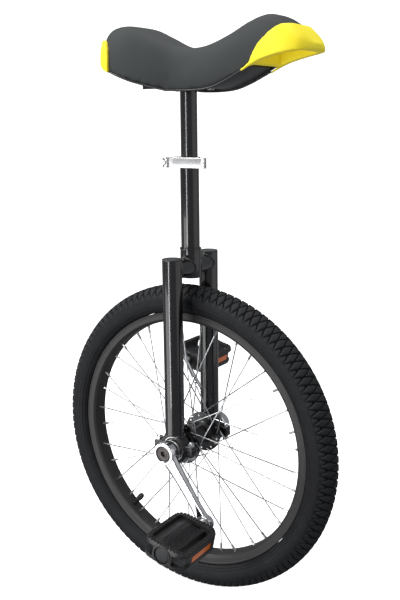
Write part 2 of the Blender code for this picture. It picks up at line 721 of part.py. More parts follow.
def make_pedal(word, frame, plastic, orange):
    """A platform pedal: its cage with the barrel, two reflectors and the end cap. Z points outwards."""
    length = PEDAL_OUTER - PEDAL_INNER
    middle = (PEDAL_OUTER + PEDAL_INNER) / 2
    lying = Matrix.Translation((0, 0, middle)) @ Matrix.Rotation(math.pi / 2, 4, "X")
    outline = rounded_rectangle(PEDAL_HALF_LENGTH, length / 2, 18 * MM)
    cage_mesh = extruded(f"pedal_body_{word}", outline, -PEDAL_HALF_HEIGHT, PEDAL_HALF_HEIGHT)
    cage = place(f"pedal_body_{word}", cage_mesh, plastic, frame, lying)
    opening = rounded_rectangle(8.5 * MM, length / 2 - 10 * MM, 6 * MM, 2)
    for end_word, end in (("front", 1), ("rear", -1)):
        side_x = end * 21.5 * MM
        moved = [(x + side_x, y) for x, y in opening]
        through_mesh = extruded("pedal_opening", moved, -20 * MM, 20 * MM)
        near, far = sorted((side_x - end * 5 * MM, side_x + end * 6 * MM))
        window_low = (near, -8 * MM, PEDAL_OUTER - 20 * MM)
        window = box("pedal_window", window_low, (far, 8 * MM, PEDAL_OUTER + 5 * MM))
        edge = end * PEDAL_HALF_LENGTH
        pocket = reflector_block("reflector_pocket", edge - end * 3.6 * MM, edge + end * MM, 0.4 * MM)
        cut(
            cage,
            place(f"pedal_opening_{word}_{end_word}", through_mesh, parent=frame, matrix=lying),
            place(f"pedal_window_{word}_{end_word}", window, parent=frame),
            place(f"reflector_pocket_{word}_{end_word}", pocket, parent=frame),
        )
        lens = reflector_block("pedal_reflector", edge - end * 3.2 * MM, edge - end * 0.2 * MM, 0)
        place(f"pedal_reflector_{word}_{end_word}", lens, orange, frame)
    bore_outline = [
        (0, PEDAL_OUTER + MM),
        (12.3 * MM, PEDAL_OUTER + MM),
        (12.3 * MM, PEDAL_OUTER - 3 * MM),
        (9 * MM, PEDAL_OUTER - 3 * MM),
        (9 * MM, PEDAL_OUTER - 20 * MM),
        (7.5 * MM, PEDAL_OUTER - 20 * MM),
        (7.5 * MM, PEDAL_INNER - MM),
        (0, PEDAL_INNER - MM),
    ]
    cut(cage, place(f"pedal_bore_{word}", turned("pedal_bore", bore_outline, 20), parent=frame))
    cap_outline = tube_outline(12 * MM, 0, PEDAL_OUTER - 2.7 * MM, PEDAL_OUTER + 0.5 * MM)
    place(f"pedal_cap_{word}", turned("pedal_cap", cap_outline, 20), plastic, frame)


# ---------------------------------------------------------------- seat


def make_seat_post(paint):
    """The seat post with the plate that is welded on its top."""
    plate_low = PLATE_TOP - PLATE_THICK
    outline = tube_outline(POST_RADIUS, POST_RADIUS - 1.6 * MM, POST_BOTTOM, plate_low + MM)
    post = place("seat_post", turned("seat_post", outline, 24), paint)
    plate = extruded("post_plate", rounded_rectangle(40 * MM, 24 * MM, 8 * MM, 2), plate_low, PLATE_TOP)
    join(post, place("post_plate", plate))
    for x, y in stud_places():
        hole = turned("stud_hole", tube_outline(3.5 * MM, 0, -5 * MM, 5 * MM), 12)
        cut(post, place(f"stud_hole_{x:.3f}_{y:.3f}", hole, matrix=Matrix.Translation((x, y, plate_low))))


def stud_places():
    return [(x, y) for x in (-STUD_X, STUD_X) for y in (-STUD_Y, STUD_Y)]


# Stations along the saddle: x, underside, top and half width
SADDLE = [
    (-129 * MM, 846 * MM, 869 * MM, 38 * MM),
    (-124 * MM, 839 * MM, 878 * MM, 46 * MM),
    (-110 * MM, 824 * MM, 890 * MM, 60 * MM),
    (-80 * MM, 810 * MM, 891 * MM, 65 * MM),
    (-40 * MM, 799 * MM, 875 * MM, 57 * MM),
    (0 * MM, 794 * MM, 859 * MM, 45 * MM),
    (40 * MM, 796 * MM, 858 * MM, 41 * MM),
    (80 * MM, 805 * MM, 870 * MM, 41 * MM),
    (120 * MM, 818 * MM, 887 * MM, 43 * MM),
    (148 * MM, 826 * MM, 893 * MM, 46 * MM),
    (175 * MM, 833 * MM, 880 * MM, 45 * MM),
    (195 * MM, 838 * MM, 862 * MM, 38 * MM),
    (206 * MM, 842 * MM, 848 * MM, 22 * MM),
]


def saddle_ring(x, low, high, width, corners=14):
    """A rounded section across the saddle."""
    points = []
    for corner in range(corners):
        turn = math.tau * (corner + 0.5) / corners
        across = math.copysign(abs(math.cos(turn)) ** 0.6, math.cos(turn))
        upright = math.copysign(abs(math.sin(turn)) ** 0.6, math.sin(turn))
        points.append((x, width * across, (low + high) / 2 + (high - low) / 2 * upright))
    return points


def make_saddle(plastic, cover, yellow, steel):
    """The cushion on its moulded base, the nuts that hold the base, and the bumper at each end."""
    middle_stations = SADDLE[:10]
    cushion = []
    base_rings = []
    for x, low, high, width in middle_stations:
        base_top = low + CUSHION_LIFT - GAP
        across = width - BASE_INSET
        cushion.append(saddle_ring(x, low + CUSHION_LIFT, high, width))
        base_rings.append(
            [
                (x, across - BASE_EDGE, low),
                (x, across, low + BASE_EDGE),
                (x, across, base_top),
                (x, -across, base_top),
                (x, -across, low + BASE_EDGE),
                (x, -across + BASE_EDGE, low),
            ]
        )
    place("saddle_cushion", lofted("saddle_cushion", cushion), cover)
    base = place("saddle_base", lofted("saddle_base", base_rings), plastic)
    recess = box("base_recess", (-42 * MM, -26 * MM, 780 * MM), (42 * MM, 26 * MM, RECESS_TOP))
    cut(base, place("base_recess", recess))
    for number, (x, y) in enumerate(stud_places(), start=1):
        stud_mesh = turned("stud", tube_outline(3 * MM, 0, 793 * MM, RECESS_TOP + 1.5 * MM), 12)
        join(base, place(f"stud_{number}", stud_mesh, matrix=Matrix.Translation((x, y, 0))))
        nut_top = PLATE_TOP - PLATE_THICK - GAP
        nut = turned("saddle_nut", tube_outline(5.8 * MM, 3.9 * MM, nut_top - 5 * MM, nut_top), 6)
        place(f"saddle_nut_{number}", nut, steel, matrix=Matrix.Translation((x, y, 0)))
    make_bumpers(yellow)


def make_bumpers(yellow):
    """The front bumper, hollow below as a hand grip, and the rear bumper."""
    x, low, high, width = SADDLE[9]
    stations = [(x + 2 * GAP, low, high, width)] + SADDLE[10:]
    front_rings = [saddle_ring(*station) for station in stations]
    front = place("front_bumper", lofted("front_bumper", front_rings), yellow)
    grip = box("grip_hollow", (156 * MM, -30 * MM, 815 * MM), (188 * MM, 30 * MM, 851 * MM))
    cut(front, place("grip_hollow", grip))
    rear_stations = [
        (-139 * MM, 853 * MM, 863 * MM, 20 * MM),
        (-135 * MM, 848 * MM, 869 * MM, 32 * MM),
        (-129.6 * MM, 845 * MM, 873 * MM, 39 * MM),
    ]
    rings = [saddle_ring(*station) for station in rear_stations]
    place("rear_bumper", lofted("rear_bumper", rings), yellow)


# ---------------------------------------------------------------- assembly


def crank_direction(side):
    """The way a crank points, in the wheel's plane."""
    turn = CRANK_ANGLE if side == RIGHT else CRANK_ANGLE + math.pi
    return Vector((math.cos(turn), 0, math.sin(turn)))


def main():
    for thing in list(bpy.data.objects):
        bpy.data.objects.remove(thing)
    look = finishes()
    axle = Vector((0, 0, WHEEL_RADIUS))
    wheel = axis_frame("wheel_axis", axle, (1, 0, 0), (0, 1, 0))
    side_frames = {}
    for word, side in SIDES.items():
        outward = (0, side, 0)
        side_frames[word] = axis_frame(f"crank_axis_{word}", axle, crank_direction(side), outward)
        eye = axle + CRANK_LENGTH * crank_direction(side)
        level = Vector((math.cos(PEDAL_PITCH), 0, -math.sin(PEDAL_PITCH)))
        pedal_frame = axis_frame(f"pedal_axis_{word}", eye, level, outward)
        make_crank(word, side_frames[word], look["chrome"], look["dark_steel"])
        make_pedal_spindle(word, side_frames[word], look["steel"])
        make_pedal(word, pedal_frame, look["black_plastic"], look["orange"])
        y = side * BEARING_Y
        make_leg(word, y, look["black_paint"], look["black_plastic"])
        make_bearing(word, y, look["steel"])
        make_holder(f"bearing_seat_{word}", y, True, look["cast_black"])
        make_holder(f"bearing_cap_{word}", y, False, look["cast_black"])
        make_cap_fasteners(word, y, look["chrome"])
    make_rim(wheel, look["anodised"])
    make_tyre(wheel, look["rubber"])
    make_inner_tube(wheel, look["rubber"], look["black_plastic"])
    make_spokes(wheel, look["steel"])
    make_hub(wheel, look["cast_black"], side_frames)
    make_crown(look["black_paint"])
    make_seat_tube(look["black_paint"])
    make_clamp(look["chrome"], look["steel"])
    make_seat_post(look["black_paint"])
    make_saddle(look["black_plastic"], look["cover"], look["yellow"], look["steel"])


main()
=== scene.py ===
"""The unicycle's looks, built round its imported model.

Metres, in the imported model's own frame: the origin is on the ground under the axle, +X is forward,
+Y is the rider's left and +Z is up. Sizes are written in millimetres times MM.
"""

import logging
import math
from collections.abc import Callable, Iterable, Mapping, Sequence
from dataclasses import dataclass, field
from enum import Enum

import bmesh
import bpy
from mathutils import Matrix, Vector


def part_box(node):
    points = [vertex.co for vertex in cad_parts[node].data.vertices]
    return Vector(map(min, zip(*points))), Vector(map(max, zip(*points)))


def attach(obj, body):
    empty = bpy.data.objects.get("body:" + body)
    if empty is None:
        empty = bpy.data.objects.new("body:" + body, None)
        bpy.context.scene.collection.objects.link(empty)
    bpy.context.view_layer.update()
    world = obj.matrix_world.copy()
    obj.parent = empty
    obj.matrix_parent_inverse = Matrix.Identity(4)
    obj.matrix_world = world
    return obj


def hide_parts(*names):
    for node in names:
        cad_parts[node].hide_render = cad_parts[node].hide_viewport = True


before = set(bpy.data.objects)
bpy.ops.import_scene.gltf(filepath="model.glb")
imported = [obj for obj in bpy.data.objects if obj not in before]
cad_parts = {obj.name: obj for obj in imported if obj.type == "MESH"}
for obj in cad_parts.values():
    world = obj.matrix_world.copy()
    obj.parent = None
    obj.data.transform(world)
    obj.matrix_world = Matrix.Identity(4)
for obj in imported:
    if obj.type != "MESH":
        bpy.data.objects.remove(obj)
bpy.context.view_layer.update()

MM = 0.001
TURN = math.tau
LOG = logging.getLogger("unicycle")

CORNERS = ((1, 1), (-1, 1), (-1, -1), (1, -1))

Point = tuple[float, float]
Colour = tuple[float, float, float]
Numbers = Sequence[float]
Socket = bpy.types.NodeSocket


class Body(Enum):
    """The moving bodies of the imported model."""

    FRAME = "frame"
    LEVER = "lever"
    BALLS_RIGHT = "balls_right"
    BALLS_LEFT = "balls_left"
    WHEEL = "wheel"
    PEDAL_RIGHT = "pedal_right"
    PEDAL_LEFT = "pedal_left"
    SEAT = "seat"


class Slot(Enum):
    """The record's material slots."""

    BLACK_PAINT = "black_paint"
    BLACK_PLASTIC = "black_plastic"
    CAST_BLACK = "cast_black"
    BEARING_STEEL = "bearing_steel"
    CHROME = "chrome"
    DARK_STEEL = "dark_steel"
    ANODISED = "anodised"
    TYRE_RUBBER = "tyre_rubber"
    SADDLE_COVER = "saddle_cover"
    YELLOW_PLASTIC = "yellow_plastic"
    ORANGE_PLASTIC = "orange_plastic"


class Side(Enum):
    """The rider's right and left, with the sign of y and the bodies on that side."""

    RIGHT = ("right", -1)
    LEFT = ("left", 1)

    @property
    def word(self) -> str:
        """The side's name in the nodes' names."""
        return self.value[0]

    @property
    def sign(self) -> int:
        """The sign of y on this side."""
        return self.value[1]

    @property
    def pedal(self) -> Body:
        """The body that this side's pedal is."""
        return Body.PEDAL_RIGHT if self is Side.RIGHT else Body.PEDAL_LEFT

    @property
    def balls(self) -> Body:
        """The body that this side's bearing balls are."""
        return Body.BALLS_RIGHT if self is Side.RIGHT else Body.BALLS_LEFT


# Node trees


class Value:
    """A number in a shader tree that takes Python's arithmetic."""

    def __init__(self, graph: "Graph", socket: Socket) -> None:
        """Wraps a socket.

        Args:
            graph: the tree that gets the Math nodes.
            socket: the output that holds the number.
        """
        self.graph = graph
        self.socket = socket

    def _sum(self, operation: str, first: object, second: object) -> "Value":
        """Adds one Math node.

        Args:
            operation: the Math node's operation.
            first: a number or a Value.
            second: a number or a Value.

        Returns:
            The node's result.
        """
        made = self.graph.node("ShaderNodeMath", {"operation": operation}, {0: first, 1: second})
        return Value(self.graph, made.outputs[0])

    def __add__(self, other: object) -> "Value":
        """self + other"""
        return self._sum("ADD", self, other)

    def __radd__(self, other: object) -> "Value":
        """other + self"""
        return self._sum("ADD", other, self)

    def __sub__(self, other: object) -> "Value":
        """self - other"""
        return self._sum("SUBTRACT", self, other)

    def __rsub__(self, other: object) -> "Value":
        """other - self"""
        return self._sum("SUBTRACT", other, self)

    def __mul__(self, other: object) -> "Value":
        """self * other"""
        return self._sum("MULTIPLY", self, other)

    def __pow__(self, other: object) -> "Value":
        """self to the power of other"""
        return self._sum("POWER", self, other)

    def above(self, limit: float) -> "Value":
        """1 where the number is over the limit, else 0."""
        return self._sum("GREATER_THAN", self, limit)

    def ramp(self, low: float, high: float) -> "Value":
        """Rises smoothly from 0 at low to 1 at high."""
        made = self.graph.node(
            "ShaderNodeMapRange",
            {"interpolation_type": "SMOOTHSTEP"},
            {"Value": self, "From Min": low, "From Max": high},
        )
        return Value(self.graph, made.outputs[0])


class Graph:
    """A node tree with one way to add a node."""

    def __init__(self, tree: bpy.types.NodeTree) -> None:
        """Starts an empty tree.

        Args:
            tree: the tree to fill.
        """
        self.tree = tree
        tree.nodes.clear()

    def node(
        self,
        kind: str,
        settings: Mapping[str, object] | None = None,
        inputs: Mapping[str | int, object] | None = None,
    ) -> bpy.types.Node:
        """Adds a node.

        Args:
            kind: the node's type.
            settings: its properties, set before its sockets.
            inputs: a number, colour, vector, Value or socket for each named socket.

        Returns:
            The new node.
        """
        made = self.tree.nodes.new(kind)
        for name, value in (settings or {}).items():
            setattr(made, name, value)
        for name, value in (inputs or {}).items():
            if isinstance(value, Value):
                value = value.socket
            if isinstance(value, Socket):
                self.tree.links.new(value, made.inputs[name])
            else:
                made.inputs[name].default_value = value
        return made


class Shader(Graph):
    """A Principled material in the making."""

    def __init__(self, name: str) -> None:
        """Starts a material with a shader and an output.

        Args:
            name: the material's name.
        """
        self.material = bpy.data.materials.new(name)
        self.material.use_nodes = True
        super().__init__(self.material.node_tree)
        self.surface = self.node("ShaderNodeBsdfPrincipled")
        output = self.node("ShaderNodeOutputMaterial")
        self.tree.links.new(self.surface.outputs[0], output.inputs[0])
        self.place = self.node("ShaderNodeTexCoord").outputs["Object"]

    def dress(self, **sockets: object) -> None:
        """Sets the shader's own sockets, whose names have spaces where these have underscores.

        Args:
            sockets: a value, colour, Value or socket for each.
        """
        for name, value in sockets.items():
            socket = self.surface.inputs[name.replace("_", " ").title().replace("Ior", "IOR")]
            if isinstance(value, Value):
                value = value.socket
            if isinstance(value, Socket):
                self.tree.links.new(value, socket)
            else:
                socket.default_value = value

    def moved(self, centre: Vector) -> Socket:
        """Object coordinates about a centre."""
        away = self.node("ShaderNodeVectorMath", {"operation": "SUBTRACT"}, {0: self.place, 1: centre})
        return away.outputs[0]

    def split(self, vector: Socket) -> tuple[Value, Value, Value]:
        """A vector's x, y and z."""
        parts = self.node("ShaderNodeSeparateXYZ", inputs={0: vector}).outputs
        return Value(self, parts[0]), Value(self, parts[1]), Value(self, parts[2])

    def noise(self, scale: float, detail: float = 2, vector: Socket | None = None) -> Value:
        """Smooth noise from 0 to 1.

        Args:
            scale: cells to a metre.
            detail: how many finer layers it has.
            vector: where it is read, by default Object coordinates.

        Returns:
            The noise.
        """
        inputs = {"Vector": vector or self.place, "Scale": scale, "Detail": detail}
        return Value(self, self.node("ShaderNodeTexNoise", inputs=inputs).outputs[0])

    def cells(self, scale: float) -> Value:
        """The distance to the nearest of scattered points, for pebbles and pits."""
        inputs = {"Vector": self.place, "Scale": scale}
        return Value(self, self.node("ShaderNodeTexVoronoi", inputs=inputs).outputs["Distance"])

    def blend(self, factor: Value, first: Colour, second: Colour) -> Socket:
        """Mixes two colours.

        Args:
            factor: 0 for the first and 1 for the second.
            first: a colour.
            second: a colour.

        Returns:
            The colour socket.
        """
        made = self.node("ShaderNodeMix", {"data_type": "RGBA"}, {"Factor": factor})
        for name, colour in (("A", first), ("B", second)):
            socket = next(s for s in made.inputs if s.name == name and s.type == "RGBA")
            if isinstance(colour, Socket):
                self.tree.links.new(colour, socket)
            else:
                socket.default_value = (*colour, 1)
        return next(s for s in made.outputs if s.type == "RGBA")

    def bump(self, height: Value, strength: float, depth: float) -> Socket:
        """A normal from a height.

        Args:
            height: the height, in units of depth.
            strength: from 0 to 1.
            depth: how far one unit of height stands out, in metres.

        Returns:
            The normal socket.
        """
        inputs = {"Height": height, "Strength": strength, "Distance": depth}
        return self.node("ShaderNodeBump", inputs=inputs).outputs[0]


class ShapeTree(Graph):
    """A geometry tree with named inputs, used as a modifier."""

    def __init__(self, name: str, inputs: Mapping[str, str]) -> None:
        """Starts a tree with a geometry in and out.

        Args:
            name: the tree's name.
            inputs: each input's name and socket type.
        """
        tree = bpy.data.node_groups.new(name, "GeometryNodeTree")
        super().__init__(tree)
        self.identifiers = {}
        tree.interface.new_socket("Geometry", in_out="OUTPUT", socket_type="NodeSocketGeometry")
        tree.interface.new_socket("Geometry", in_out="INPUT", socket_type="NodeSocketGeometry")
        for label, kind in inputs.items():
            made = tree.interface.new_socket(label, in_out="INPUT", socket_type=kind)
            self.identifiers[label] = made.identifier
        self.source = self.node("NodeGroupInput").outputs

    def end(self, geometry: Socket) -> None:
        """Realises the instances, gives them their material and ends the tree.

        Args:
            geometry: the last geometry.
        """
        real = self.node("GeometryNodeRealizeInstances", inputs={0: geometry})
        inputs = {"Geometry": real.outputs[0], "Material": self.source["Material"]}
        dressed = self.node("GeometryNodeSetMaterial", inputs=inputs)
        self.node("NodeGroupOutput", inputs={0: dressed.outputs[0]})

    def put_on(self, thing: bpy.types.Object, values: Mapping[str, object]) -> None:
        """Adds the tree to an object as a modifier.

        Args:
            thing: the object.
            values: the value of each named input.
        """
        modifier = thing.modifiers.new(self.tree.name, "NODES")
        modifier.node_group = self.tree
        for label, value in values.items():
            modifier[self.identifiers[label]] = value


class RepeatTree(ShapeTree):
    """Copies a shape along a screw: each copy is turned and stepped on from the last."""

    def __init__(self) -> None:
        """Builds the tree."""
        super().__init__(
            "repeat",
            {
                "Count": "NodeSocketInt",
                "Turn": "NodeSocketFloat",
                "Axis": "NodeSocketVector",
                "Pivot": "NodeSocketVector",
                "Step": "NodeSocketVector",
                "Material": "NodeSocketMaterial",
            },
        )
        index = self.node("GeometryNodeInputIndex").outputs[0]
        step = {0: self.source["Step"], "Scale": index}
        offset = self.node("ShaderNodeVectorMath", {"operation": "SCALE"}, step)
        points = self.node("GeometryNodePoints",
                inputs={"Count": self.source["Count"], "Position": offset.outputs[0]})
        inputs = {"Points": points.outputs[0], "Instance": self.source["Geometry"]}
        copies = self.node("GeometryNodeInstanceOnPoints", inputs=inputs)
        angle = self.node("ShaderNodeMath", {"operation": "MULTIPLY"}, {0: index, 1: self.source["Turn"]})
        about = {"Axis": self.source["Axis"], "Angle": angle.outputs[0]}
        rotation = self.node("FunctionNodeAxisAngleToRotation", inputs=about)
        turned = self.node(
            "GeometryNodeRotateInstances",
            inputs={
                "Instances": copies.outputs[0],
                "Rotation": rotation.outputs[0],
                "Pivot Point": self.source["Pivot"],
                "Local Space": False,
            },
        )
        self.end(turned.outputs[0])


class BeadTree(ShapeTree):
    """A weld: small overlapping lenses set along a line."""

    def __init__(self) -> None:
        """Builds the tree."""
        super().__init__(
            "bead",
            {
                "Pitch": "NodeSocketFloat",
                "Radius": "NodeSocketFloat",
                "Material": "NodeSocketMaterial",
            },
        )
        line = self.node("GeometryNodeMeshToCurve", inputs={"Mesh": self.source["Geometry"]})
        points = self.node(
            "GeometryNodeCurveToPoints",
            {"mode": "LENGTH"},
            {"Curve": line.outputs[0], "Length": self.source["Pitch"]},
        )
        lens = self.node("GeometryNodeMeshUVSphere", inputs={"Segments": 10, "Rings": 6, "Radius": 1.0})
        size = self.node("ShaderNodeVectorMath", {"operation": "SCALE"},
                {0: (1, 1, 0.75), "Scale": self.source["Radius"]})
        copies = self.node(
            "GeometryNodeInstanceOnPoints",
            inputs={
                "Points": points.outputs[0],
                "Instance": lens.outputs[0],
                "Rotation": points.outputs["Rotation"],
                "Scale": size.outputs[0],
            },
        )
        self.end(copies.outputs[0])


# Finishes


@dataclass(frozen=True)
class Finish:
    """What a surface is made of. Each kind paints its own nodes."""

    name: str
    slot: Slot
    colour: Colour

    def material(self) -> bpy.types.Material:
        """The finish's material, made once.

        Returns:
            The material.
        """
        found = bpy.data.materials.get(self.name)
        if found is None:
            shader = Shader(self.name)
            self.paint(shader)
            found = shader.material
        return found

    def paint(self, shader: Shader) -> None:
        """Fills the shader."""
        raise NotImplementedError


@dataclass(frozen=True)
class GlossPaint(Finish):
    """Sprayed enamel under a clear coat: a mirror with a faint orange peel and a little dust."""

    roughness: float = 0.16
    peel: float = 420

    def paint(self, shader: Shader) -> None:
        """Fills the shader.

        Args:
            shader: the shader.
        """
        dust = shader.noise(900, 3).ramp(0.62, 0.8)
        clouds = shader.noise(26, 3)
        peel = shader.noise(self.peel, 1)
        light = tuple(3.2 * part + 0.006 for part in self.colour)
        shader.dress(
            base_color=shader.blend(clouds * 0.3 + dust * 0.5, self.colour, light),
            roughness=self.roughness + clouds * 0.08 + dust * 0.25,
            normal=shader.bump(peel, 0.25, 0.05 * MM),
            coat_weight=0.6 + clouds * 0.3,
            coat_roughness=0.04,
            specular_ior_level=0.6,
        )


@dataclass(frozen=True)
class CastPaint(Finish):
    """Paint over a sand casting: satin, with the sand's grain showing through."""

    grain: float = 1400

    def paint(self, shader: Shader) -> None:
        """Fills the shader.

        Args:
            shader: the shader.
        """
        grain = shader.noise(self.grain, 3)
        rub = shader.noise(60, 4).ramp(0.58, 0.75)
        light = tuple(2.5 * part + 0.01 for part in self.colour)
        shader.dress(
            base_color=shader.blend(rub * 0.6, self.colour, light),
            roughness=0.26 + grain * 0.2,
            normal=shader.bump(grain, 0.5, 0.12 * MM),
            coat_weight=0.3 + grain * 0.2,
            coat_roughness=0.15,
        )


@dataclass(frozen=True)
class Metal(Finish):
    """Bare or plated metal with finger smudges and fine scratches."""

    roughness: float = 0.08
    smudge: float = 0.1
    scratch: float = 0.15
    cell: float = 45

    def paint(self, shader: Shader) -> None:
        """Fills the shader.

        Args:
            shader: the shader.
        """
        smudge = shader.noise(self.cell, 4).ramp(0.4, 0.72)
        fine = shader.noise(2600, 2)
        dull = tuple(0.82 * part for part in self.colour)
        shader.dress(
            base_color=shader.blend(smudge * 0.7 + fine * 0.3, self.colour, dull),
            metallic=1.0,
            roughness=self.roughness + smudge * self.smudge + fine * 0.04,
            normal=shader.bump(fine, self.scratch, 0.02 * MM),
        )


@dataclass(frozen=True)
class Anodised(Finish):
    """Anodised aluminium: a dark satin metal, turned on a lathe, so its lines run round the axle."""

    def paint(self, shader: Shader) -> None:
        """Fills the shader.

        Args:
            shader: the shader.
        """
        x, y, z = shader.split(shader.moved(AXLE))
        radius = (x * x + z * z) ** 0.5
        join = shader.node("ShaderNodeCombineXYZ", inputs={0: radius * 3000, 1: y * 3000, 2: 0.0})
        lines = shader.noise(1.0, 2, join.outputs[0])
        clouds = shader.noise(18, 4)
        light = tuple(1.7 * part + 0.006 for part in self.colour)
        shader.dress(
            base_color=shader.blend(clouds * 0.6 + lines * 0.3, self.colour, light),
            metallic=0.55,
            roughness=0.4 + lines * 0.14 + clouds * 0.06,
            normal=shader.bump(lines, 0.25, 0.03 * MM),
        )


@dataclass(frozen=True)
class Rubber(Finish):
    """Tyre rubber: dull, mottled by its mould and a little dusty in random patches."""

    dust: Colour = (0.075, 0.077, 0.08)

    def paint(self, shader: Shader) -> None:
        """Fills the shader.

        Args:
            shader: the shader.
        """
        mottle = shader.noise(55, 5)
        grain = shader.noise(2200, 2)
        pores = shader.cells(900).ramp(0.0, 0.35)
        shader.dress(
            base_color=shader.blend(mottle.ramp(0.35, 0.8) * 0.45 + grain * 0.1, self.colour, self.dust),
            roughness=0.56 + mottle * 0.24,
            normal=shader.bump(grain * 0.5 + pores * 0.5, 0.5, 0.12 * MM),
            specular_ior_level=0.3,
        )


@dataclass(frozen=True)
class Casing(Rubber):
    """The tyre's side: painted shade darkens the casing in the tread's grooves, and its raised rings are
    lighter.
    """

    def paint(self, shader: Shader) -> None:
        """Fills the shader.

        Args:
            shader: the shader.
        """
        x, y, z = shader.split(shader.moved(AXLE))
        away = (x * x + z * z) ** 0.5 - 228 * MM
        depth = (away * away + y * y) ** 0.5
        # Painted shade: the casing between the tread blocks is darkened nearly to black.
        groove = (1 - depth.ramp(22.5 * MM, 23.2 * MM)) * away.above(8 * MM)
        raised = depth.ramp(24.1 * MM, 24.4 * MM)
        mottle = shader.noise(55, 5)
        grain = shader.noise(2200, 2)
        side = shader.blend(mottle.ramp(0.35, 0.8) * 0.5 + raised * 0.4, self.colour, self.dust)
        shader.dress(
            # The grooves' painted shade is mixed into the colour here, and it also makes them rougher.
            base_color=shader.blend(groove, side, (0.0015, 0.0015, 0.0017)),
            roughness=0.5 + mottle * 0.2 + groove * 0.2,
            normal=shader.bump(grain, 0.4, 0.1 * MM),
            specular_ior_level=0.22,
        )


@dataclass(frozen=True)
class Plastic(Finish):
    """Moulded plastic with a fine spark-eroded grain and slight flow marks."""

    roughness: float = 0.42
    grain: float = 1600
    depth: float = 0.1
    lift: float = 2.2

    def paint(self, shader: Shader) -> None:
        """Fills the shader.

        Args:
            shader: the shader.
        """
        grain = shader.cells(self.grain).ramp(0.1, 0.8)
        flow = shader.noise(30, 3)
        scuff = shader.noise(140, 5).ramp(0.6, 0.78)
        light = tuple(self.lift * part + 0.008 for part in self.colour)
        shader.dress(
            base_color=shader.blend(flow * 0.35 + scuff * 0.35, self.colour, light),
            roughness=self.roughness + flow * 0.1 + grain * 0.06,
            normal=shader.bump(grain, 0.4, self.depth * MM),
        )


@dataclass(frozen=True)
class BrightPlastic(Finish):
    """A solid-coloured bumper: glossy, deeper in colour in random clouds, with a faint painted glow: it
    emits some of its own yellow.
    """

    deep: Colour = (0.92, 0.7, 0.01)

    def paint(self, shader: Shader) -> None:
        """Fills the shader.

        Args:
            shader: the shader.
        """
        flow = shader.noise(16, 4)
        grain = shader.noise(1500, 2)
        scuff = shader.noise(220, 5).ramp(0.66, 0.8)
        shader.dress(
            base_color=shader.blend(flow.ramp(0.35, 0.9) * 0.35 + scuff * 0.18, self.colour, self.deep),
            roughness=0.4 + flow * 0.14 + scuff * 0.2,
            normal=shader.bump(grain, 0.3, 0.05 * MM),
            specular_ior_level=0.15,
            # Painted glow: the bumper emits a little of its own yellow, so it looks brighter than the lamps
            # light it.
            emission_color=shader.blend(flow, self.colour, self.deep),
            emission_strength=0.12,
        )


@dataclass(frozen=True)
class Cover(Finish):
    """The saddle's stretched cover: a dull vinyl with a very fine leather grain."""

    light: Colour = (0.05, 0.052, 0.057)

    def paint(self, shader: Shader) -> None:
        """Fills the shader.

        Args:
            shader: the shader.
        """
        pebble = shader.cells(1100).ramp(0.05, 0.6)
        crease = shader.noise(420, 4)
        mottle = shader.noise(22, 5)
        shader.dress(
            base_color=shader.blend(mottle.ramp(0.3, 0.8) * 0.4 + pebble * 0.25, self.colour, self.light),
            roughness=0.46 + mottle * 0.12 + pebble * 0.06,
            normal=shader.bump(pebble * 0.7 + crease * 0.3, 0.45, 0.14 * MM),
            specular_ior_level=0.07,
        )


@dataclass(frozen=True)
class Lens(Finish):
    """A moulded reflector: clear orange over rows of small prisms, with painted glints on some prism cells
    and a faint painted glow.
    """

    prism: float = 2.2 * MM

    def paint(self, shader: Shader) -> None:
        """Fills the shader.

        Args:
            shader: the shader.
        """
        tilted = shader.cells(1 / self.prism)
        glow = shader.noise(35, 3)
        painted_glint_orange = (1.0, 0.26, 0.01)
        shader.dress(
            # Painted glints: some prism cells are tinted towards a lighter orange.
            base_color=shader.blend(tilted.ramp(0.1, 0.7) * 0.5 + glow * 0.4, self.colour, painted_glint_orange),
            roughness=0.16 + glow * 0.1,
            normal=shader.bump(tilted, 0.6, 0.4 * MM),
            coat_weight=0.7 + glow * 0.2,
            coat_roughness=0.04,
            # Painted glow: the reflector emits a little orange light of its own, brighter on the glinting
            # cells.
            emission_color=shader.blend(tilted, self.colour, painted_glint_orange),
            emission_strength=0.05,
        )


# Shapes


def middle_of(node: str) -> Vector:
    """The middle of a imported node's box."""
    low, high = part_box(node)
    return (low + high) / 2


AXLE = middle_of("tyre")


def aimed(origin: Numbers, up: Numbers, forward: Numbers = (1, 0, 0)) -> Matrix:
    """A place whose Z axis points along up.

    Args:
        origin: where it is.
        up: the way its Z axis points.
        forward: the way its X axis points, as nearly as it can.

    Returns:
        The matrix from the place to the model's frame.
    """
    z_axis = Vector(up).normalized()
    y_axis = z_axis.cross(Vector(forward)).normalized()
    x_axis = y_axis.cross(z_axis)
    turn = Matrix((x_axis, y_axis, z_axis)).transposed().to_4x4()
    return Matrix.Translation(origin) @ turn


def along_axle(y: float = 0.0, x: float = 0.0, z: float = AXLE.z) -> Matrix:
    """A place whose Z axis points along +Y."""
    return aimed((x, y, z), (0, 1, 0))


def on_wheel(radius: float, angle: float, y: float) -> Vector:
    """A point of the wheel at a radius, an angle from +X towards +Z, and a y."""
    return AXLE + Vector((radius * math.cos(angle), y, radius * math.sin(angle)))


